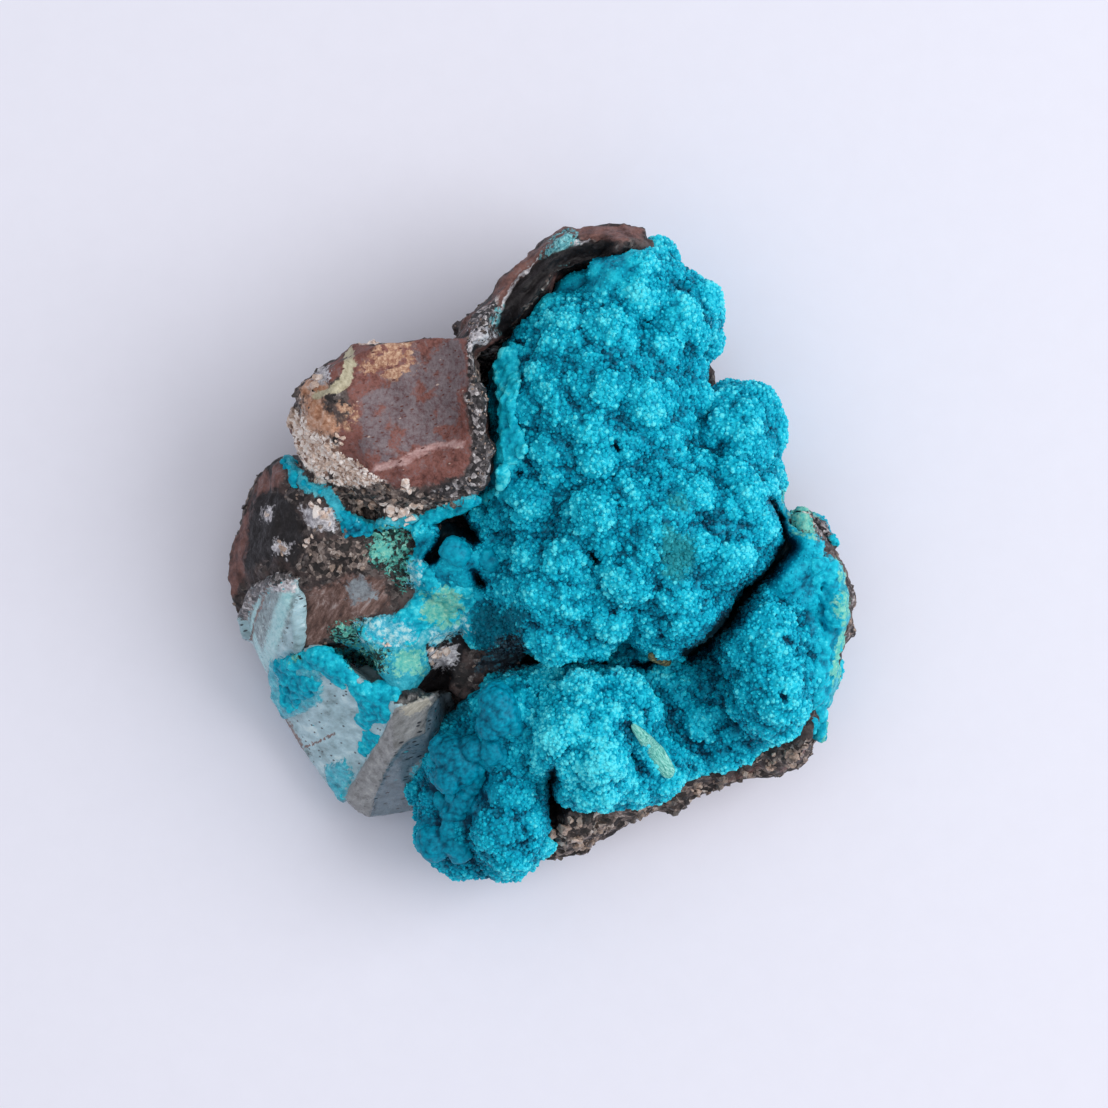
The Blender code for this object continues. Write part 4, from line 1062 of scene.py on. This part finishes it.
def build_chips(rock, rock_tree, material):
    points, faces, marks = rock
    rng = np.random.default_rng(CHIP_SEED)
    centre = points[faces].mean(axis=1)
    normals = vertex_normals(points, faces)[faces[:, 0]]
    places, sizes, tones = [], [], []
    for name, count, span, shades in SCATTERED_CHIPS:
        in_zone = (centre[:, 2] > LOWEST_CHIP) & (marks[name][faces[:, 0]] > 0.6)
        chosen = rng.choice(np.flatnonzero(in_zone), count, replace=False)
        half = between(span, rng.random(count) ** 2)
        places += list(centre[chosen] - normals[chosen] * (CHIP_SUNK * half)[:, None])
        sizes += list(half)
        tones += list(rng.uniform(*shades, count))
    for x, y, half, shade in NAMED_CHIPS:
        for k in range(CLUSTER):
            share = HEAD_SHARE if k == 0 else rng.uniform(*REST_SHARES)
            aside = (0.0, 0.0) if k == 0 else rng.normal(0.0, CLUSTER_SPREAD * half, 2)
            hit = on_top(rock_tree, x + aside[0], y + aside[1])
            if hit is not None:
                places.append(np.array(hit) - (0, 0, CLUSTER_SUNK * share * half))
                sizes.append(share * half)
                tones.append(shade - CLUSTER_DARKER * rng.random())
    made, tris, tone = chips(places, sizes, tones, rng)
    attributes = {"tone": tone, "film": np.zeros(len(made))}
    piece("rock_grains", made, tris, material, attributes=attributes, smooth=False)


# ---- films and domes -----------------------------------------------------------------------------

# Raised films: the areas that small balls fill, the balls' half widths at the edge and well inside, and
# how bright they are.
FILMS = {
    "blue_vein": [
        ((-270, -108, -250, -101, -225, -92, -210, -90, -197, -98, -190, -114, -176, -126, -158, -126,
         -140, -134, -142, -144, -148, -160, -157, -178, -169, -196, -178, -204, -186, -198, -180, -184,
         -187, -164, -182, -152, -194, -139, -209, -127, -223, -114, -242, -116, -256, -122, -268, -120),
         (0.22, 0.8), 0.58),
        ((-185, -206, -180, -214, -190, -233, -200, -250, -206, -248, -196, -227, -194, -212), (0.18, 0.5),
         0.75),
        ((-266, -122, -252, -122, -238, -120, -226, -124, -220, -132, -226, -140, -240, -146, -246, -154,
         -258, -162, -264, -152, -265, -136), (0.2, 0.7), 0.5),
    ],
    "crack_film": [
        ((-266, 120, -258, 116, -249, 102, -239, 82, -233, 70, -246, 64, -256, 70, -261, 88, -265, 104),
         (0.16, 0.5), 0.34),
        ((-242, 69, -230, 70, -214, 63, -204, 52, -208, 47, -218, 56, -232, 63), (0.13, 0.32), 0.34),
        ((-202, 48, -184, 38, -166, 29, -146, 31, -140, 23, -156, 16, -200, 15), (0.16, 0.45), 0.4),
        ((-140, 30, -118, 42, -90, 50, -62, 59, -46, 67, -39, 59, -56, 48, -84, 39, -108, 28, -132, 18), (0.2,
         0.6), 0.58),
    ],
    "rim_film": [
        ((270, 2, 294, -4, 304, -46, 299, -96, 289, -138, 287, -181, 285, -220, 272, -216, 270, -181,
         270, -146, 272, -116, 274, -86, 272, -46, 266, -16), (0.22, 0.7), 0.55),
    ],
    "mid_film": [
        ((-144, -60, -130, -48, -122, -38, -136, -20, -140, 2, -126, -2, -112, -12, -96, -20, -80, -26,
         -66, -36, -64, -52, -76, -62, -96, -72, -121, -76, -128, -92, -140, -94, -144, -88, -162, -88,
         -180, -87, -188, -75, -170, -65), (0.2, 0.7), 0.68),
    ],
    "crust_lip": [
        ((-48, 204, -36, 212, -24, 198, -22, 170, -27, 142, -36, 138, -44, 152, -47, 180), (0.25, 0.6), 0.66),
        ((-41, 152, -30, 144, -20, 118, -14, 100, -24, 86, -36, 92, -42, 114, -43, 134), (0.25, 0.8), 0.6),
        ((-42, 98, -34, 90, -30, 74, -36, 62, -48, 58, -45, 78), (0.22, 0.65), 0.68),
    ],
}
FILM_SPACING = 0.42
FILM_JITTER = 0.6         # of the spacing
FILM_GROWTH = 0.7         # how fast the balls grow from the edge inward
FILM_UNEVEN = (0.6, 1.25)
FILM_FLATNESS = 0.5
FILM_SUNK = 0.2           # of a ball's half width, below the surface
FILM_NOISE = (1.6, 307)
FILM_HOLES = -0.22        # a film has a hole where its noise is below this
FILM_TONE_SPREAD = 0.09
FILM_SEED = 311
LIP_BRIDGE = 0.9
# Of a skin round balls: the height and size of its bumps, how far it is warped, and how much painted shade
# darkens its creases and painted light lightens its bumps.
FILM_BUMPS = ((0.3, 0.7), 0.1, 0.22)

# Smooth domes: both ends of each, its half width and how bright it is.
DOMES = [
    ((-44, -146, -40, -160), 1.9, 0.33), ((-86, -203, -76, -209), 2.1, 0.28), ((-64, -224,
    -82, -258), 1.05, 0.33), ((-100, -194, -98, -197), 1.3, 0.28), ((-68, -191, -66, -194), 1.2, 0.32),
    ((-95, -222, -92, -225), 1.3, 0.28), ((-66, -218, -65, -221), 0.9, 0.36), ((-54, -168,
    -52, -172), 1.2, 0.34), ((-29, -168, -28, -171), 0.9, 0.38), ((-48, -195, -46, -199), 1.25, 0.33),
    ((-101, -247, -100, -249), 0.95, 0.38), ((-90, -243, -89, -246), 0.75, 0.34), ((-94, -260,
    -92, -264), 0.9, 0.36), ((-111, -286, -108, -291), 1.6, 0.34), ((-93, -275, -92, -278), 1.0, 0.34),
    ((-85, -294, -82, -298), 1.2, 0.36), ((-68, -126, -67, -126), 0.35, 0.4), ((-60, -132,
    -59, -132), 0.45, 0.42), ((-52, -128, -51, -128), 0.35, 0.4), ((-43, -130, -42, -130), 0.42, 0.4),
    ((-34, -126, -33, -126), 0.45, 0.4), ((-28, -120, -27, -120), 0.4, 0.36), ((-64, -117,
    -63, -117), 0.3, 0.36), ((-88, 4, -83, 0), 1.2, 0.42), ((-54, -2, -50, -6), 1.1, 0.42),
]
DOME_STEP = 0.5           # between balls, in half widths
DOME_SUNK = 0.4           # of a ball's half width, and as far round it the surface is felt for
DOME_FLATNESS = 0.85
DOME_BUMPS = ((0.3, 0.62), 0.4, 0.17)


def heights_round(tree, x, y, reach):
    """Heights of the surface at a place and at four places round it."""
    hits = (on_top(tree, x + reach * a, y + reach * b) for a, b in ((0, 0), (1, 0), (-1, 0), (0, 1), (0, -1)))
    return [hit[2] for hit in hits if hit is not None]


def film_balls(tree, area, span, bright, bridge, rng):
    """Flat balls on the surface inside an area, small at its edge: centre, radii and brightness.

    Over a gap they sit as high as the surface within the bridge distance."""
    low, high = np.min(area, axis=0), np.max(area, axis=0)
    steps = (np.arange(a, b, FILM_SPACING) for a, b in zip(low, high))
    grid = np.stack(np.meshgrid(*steps), axis=-1).reshape(-1, 2)
    grid += rng.uniform(-FILM_JITTER, FILM_JITTER, grid.shape) * FILM_SPACING
    flat = np.column_stack([grid, np.zeros(len(grid))])
    grid = grid[inside(grid, area) & (layered_noise(flat, *FILM_NOISE) > FILM_HOLES)]
    halves = np.clip(span[0] + FILM_GROWTH * edge_distance(grid, area, True), *span)
    halves *= rng.uniform(*FILM_UNEVEN, len(grid))
    found = []
    for (x, y), half in zip(grid, halves):
        heights = heights_round(tree, x, y, bridge)
        if heights:
            centre = np.array((x, y, max(heights) - FILM_SUNK * half))
            radii = (half, half, FILM_FLATNESS * half)
            found.append((centre, radii, bright + rng.normal(0.0, FILM_TONE_SPREAD)))
    return found


def dome_balls(tree, ends, half, bright):
    """Balls close together from one end of a dome to the other."""
    count = 2 + int(np.linalg.norm(ends[0] - ends[1]) / (DOME_STEP * half))
    found = []
    for t in np.linspace(0.0, 1.0, count):
        x, y = (1.0 - t) * ends[0] + t * ends[1]
        heights = heights_round(tree, x, y, DOME_SUNK * half)
        if heights:
            centre = np.array((x, y, max(heights) - DOME_SUNK * half))
            found.append((centre, (half, half, DOME_FLATNESS * half), bright))
    return found


def ball_piece(name, balls, material, bump, warp, crease):
    """One closed skin round the balls, with smaller bumps on it, painted shade in the creases between them
    and painted light on the bumps.
    """
    made = bmesh.new()
    for centre, radii, _ in balls:
        shape = Matrix.LocRotScale(Vector(centre) * MM, None, Vector(radii) * MM)
        bmesh.ops.create_icosphere(made, subdivisions=2 if max(radii) < 1.0 else 3, radius=1.0, matrix=shape)
    mesh = bpy.data.meshes.new(name)
    made.to_mesh(mesh)
    made.free()
    points, faces = remeshed(mesh, FILM_VOXEL)
    points = smoothed(points, faces, 2)
    height, size = bump
    lift = height * (botryoids(points, size, 99) - 0.5) + swells(points, 2.2, 113, warp)
    points += vertex_normals(points, faces) * lift[:, None]
    nearest = KDTree(len(balls))
    for k, (centre, _, _) in enumerate(balls):
        nearest.insert(Vector(centre), k)
    nearest.balance()
    bright = np.array([[balls[nearest.find(Vector(p))[1]][2]] for p in points])
    marks = zones(points, zone_names(CRUST_LAYERS)) | {"void": np.zeros(len(points))}
    marks["tone"] = smoothed(bright, faces, 3)[:, 0] + crease * np.tanh(relief_of(points, faces, 8) / 0.08)
    piece(name, points, faces, material, attributes=marks)


def build_films(tree, material):
    rng = np.random.default_rng(FILM_SEED)
    for name, films in FILMS.items():
        bridge = LIP_BRIDGE if name == "crust_lip" else 0.0
        balls = [film_balls(tree, plan(area), span, bright, bridge, rng) for area, span, bright in films]
        ball_piece(name, sum(balls, []), material, *FILM_BUMPS)


def build_domes(tree, material):
    balls = [dome_balls(tree, plan(ends), half, bright) for ends, half, bright in DOMES]
    ball_piece("smooth_domes", sum(balls, []), material, *DOME_BUMPS)


# ---- the blade and the crumb ---------------------------------------------------------------------

# The pale-green blade in the lower lobe: its line, half widths, thickness and height above the crust.
BLADE = (89, -168, 101, -182, 114, -198, 129, -222)
BLADE_HALF = [0.3, 0.64, 0.86, 0.76]
BLADE_THICK = 0.42
BLADE_LIFT = 0.48
BLADE_ENDS = 12           # a lower power rounds its ends more
BLADE_STEPS, BLADE_SIDES = 40, 18
GROOVE_HEIGHTS = (0.9, 1.16)

# The olive crumb caught in the cleft: a short curved stick with rings.
CRUMB = (107, -100, 114, -103, 121, -106, 127, -109)
CRUMB_HALF = 0.5
CRUMB_RINGS = 7
CRUMB_STEPS, CRUMB_SIDES = 48, 12


def course(line, steps):
    """Even steps along a line in the plan: the share of the way from 0 to 1, x and y."""
    ends, at = plan(line), np.linspace(0.0, 1.0, steps)
    knots = np.linspace(0.0, 1.0, len(ends))
    return at, np.interp(at, knots, ends[:, 0]), np.interp(at, knots, ends[:, 1])


def tube(centre, wide, high):
    """A closed tube along a course. wide and high are each ring point's place across and up, a row a ring."""
    ahead = unit(np.gradient(centre, axis=0))
    side = unit(np.cross(ahead, (0, 0, 1)))
    up = np.cross(side, ahead)
    points = centre[:, None] + side[:, None] * wide[..., None] + up[:, None] * high[..., None]
    steps, sides = wide.shape
    faces = []
    for i, k in itertools.product(range(steps - 1), range(sides)):
        a, b = i * sides + k, i * sides + (k + 1) % sides
        faces += [(a, b + sides, b), (a, a + sides, b + sides)]
    last = (steps - 1) * sides
    for k in range(1, sides - 1):
        faces += [(0, k, k + 1), (last, last + k + 1, last + k)]
    return points.reshape(-1, 3), np.array(faces)


def build_blade(tree, material):
    """A flat splintered sliver that follows the surface, grooved along its length."""
    at, x, y = course(BLADE, BLADE_STEPS)
    half = np.interp(at, np.linspace(0.0, 1.0, len(BLADE_HALF)), BLADE_HALF)
    half = half * np.sqrt(np.clip(1.0 - np.abs(2.0 * at - 1.0) ** BLADE_ENDS, 0.1, 1.0))
    heights = np.array([on_top(tree, *p)[2] for p in zip(x, y)])
    heights = np.convolve(np.pad(heights, 4, mode="edge"), np.ones(9) / 9.0, mode="valid")
    across, upward = directions(BLADE_SIDES)
    grooved = BLADE_THICK * upward * np.tile(GROOVE_HEIGHTS, BLADE_SIDES // 2)
    centre = np.stack([x, y, heights + BLADE_LIFT], axis=1)
    points, faces = tube(centre, np.outer(half, across), np.outer(half, grooved))
    points += 0.05 * pushes(points, 0.5, (5, 6, 7))
    piece("green_blade", points, faces, material)


def build_crumb(trees, material):
    """A stick that lies on the highest of the surfaces, level with their slope."""
    at, x, y = course(CRUMB, CRUMB_STEPS)
    tops = [[on_top(tree, *p) for tree in trees] for p in zip(x, y)]
    tops = np.array([max(hit[2] for hit in hits if hit is not None) for hits in tops])
    slope = np.polyval(np.polyfit(at, tops, 1), at)
    level = slope + 0.8 * np.max(tops - slope) + 0.25
    half = CRUMB_HALF * np.sqrt(np.clip(1.0 - (2.0 * at - 1.0) ** 6, 0.0, 1.0))
    half = np.maximum(half * (1.0 + 0.12 * np.cos(at * CRUMB_RINGS * 2 * math.pi)), 0.02)
    centre = np.stack([x, y, level + 0.1 * np.sin(at * math.pi)], axis=1)
    points, faces = tube(centre, *(np.outer(half, share) for share in directions(CRUMB_SIDES)))
    piece("crumb", points, faces, material)


# ---- floor, light and camera ---------------------------------------------------------------------

PAPER = (832, 830, 943)   # red, green and blue in thousandths
PAPER_MOTTLE = 0.985
VIEW_CENTRE = (1.2, 0.0)
VIEW_WIDTH = 110.8
VIEW_HEIGHT = 665.0
VIEW_LEVEL = 15.0
SENSOR_WIDTH = 36.0
FLOOR_SIZE = 3000.0
WORLD_COLOUR = (0.93, 0.96, 1.0, 1.0)
WORLD_LIGHT = 0.45
# Soft disc lights: place, size and watts.
LIGHTS = {"window": ((570, 70, 500), 640, 3.4), "ceiling": ((60, 60, 900), 1400, 3.2)}
LIGHT_COLOUR = (1.0, 0.985, 0.97)


def build_floor():
    half = FLOOR_SIZE / 2
    corners = np.array([(-half, -half, 0), (half, -half, 0), (half, half, 0), (-half, half, 0)], float)
    mesh = new_mesh("paper", corners, np.array([(0, 1, 2, 3)]))
    material, tree, shader = plain_material("paper_surface", {"Roughness": 0.9, "Specular IOR Level": 0.1})
    darker = [PAPER_MOTTLE * c for c in PAPER]
    tint = ramp(tree, cloud(tree, 3.0, detail=5.0), [(300, *darker), (700, *PAPER)])
    tree.links.new(tint, shader.inputs["Base Color"])
    mesh.materials.append(material)
    in_scene("paper", mesh)


def build_light():
    world = bpy.data.worlds.new("room")
    world.use_nodes = True
    background = world.node_tree.nodes["Background"]
    background.inputs["Color"].default_value = WORLD_COLOUR
    background.inputs["Strength"].default_value = WORLD_LIGHT
    bpy.context.scene.world = world
    for name, (middle, size, watts) in LIGHTS.items():
        lamp = bpy.data.lights.new(name, "AREA")
        lamp.shape, lamp.size, lamp.energy, lamp.color = "DISK", size * MM, watts, LIGHT_COLOUR
        obj = in_scene(name, lamp)
        obj.location = Vector(middle) * MM
        obj.rotation_euler = (-obj.location).to_track_quat("-Z", "Y").to_euler()


def build_camera():
    data = bpy.data.cameras.new("camera")
    data.sensor_width = SENSOR_WIDTH
    data.lens = data.sensor_width * (VIEW_HEIGHT - VIEW_LEVEL) / VIEW_WIDTH
    data.clip_start, data.clip_end = 0.01, 10.0
    camera = bpy.context.scene.camera = in_scene("camera", data)
    camera.location = Vector((*VIEW_CENTRE, VIEW_HEIGHT)) * MM


# ---- the whole scene -----------------------------------------------------------------------------

def joined(*meshes):
    """Several meshes as one set of points and faces."""
    starts = np.cumsum([0] + [len(mesh[0]) for mesh in meshes])
    return (np.concatenate([mesh[0] for mesh in meshes]),
            np.concatenate([mesh[1] + start for mesh, start in zip(meshes, starts)]))


def main():
    for obj in list(bpy.data.objects):
        bpy.data.objects.remove(obj, do_unlink=True)
    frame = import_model()
    bpy.context.scene.view_settings.view_transform = "Standard"
    rock = build_rock(frame, new_material("host_rock_surface", rock_base, ROCK_LAYERS, (0.4, 0.8), ROCK_BUMP,
                                          gloss=0.3, dots=ROCK_DOTS))
    rock_tree = tree_of(*rock[:2])
    crust_surface = crust_material("crust_surface", 0.6)
    crust = build_crust(frame, crust_surface)
    crust_tree = tree_of(*crust[:2])
    build_druse(crust, rock_tree, crust_material("druse_surface", 0.2))
    wedge = build_chalcedony(frame, rock_tree, new_material(
        "chalcedony_surface", chalcedony_base, CHALCEDONY_LAYERS, (0.2, 0.45), CHALCEDONY_BUMP,
        dots=CHALCEDONY_DOTS, more=TRANSLUCENT))
    build_chips(rock, rock_tree, new_material("rock_grain_surface", chip_base, CHIP_LAYERS, (0.2, 0.55),
                                              CHIP_BUMP, more={"Coat Weight": 0.15}))
    build_films(tree_of(*joined(rock, crust, wedge)), crust_surface)
    build_domes(crust_tree, crust_material("dome_surface", 0.25, dome_base))
    build_blade(crust_tree, new_material("blade_surface", blade_base, [], (0.4, 0.6), BLADE_BUMP, gloss=0.2))
    build_crumb([rock_tree, crust_tree],
                new_material("crumb_surface", crumb_base, [], (0.6, 0.9), CRUMB_BUMP))
    build_floor()
    build_light()
    build_camera()


main()
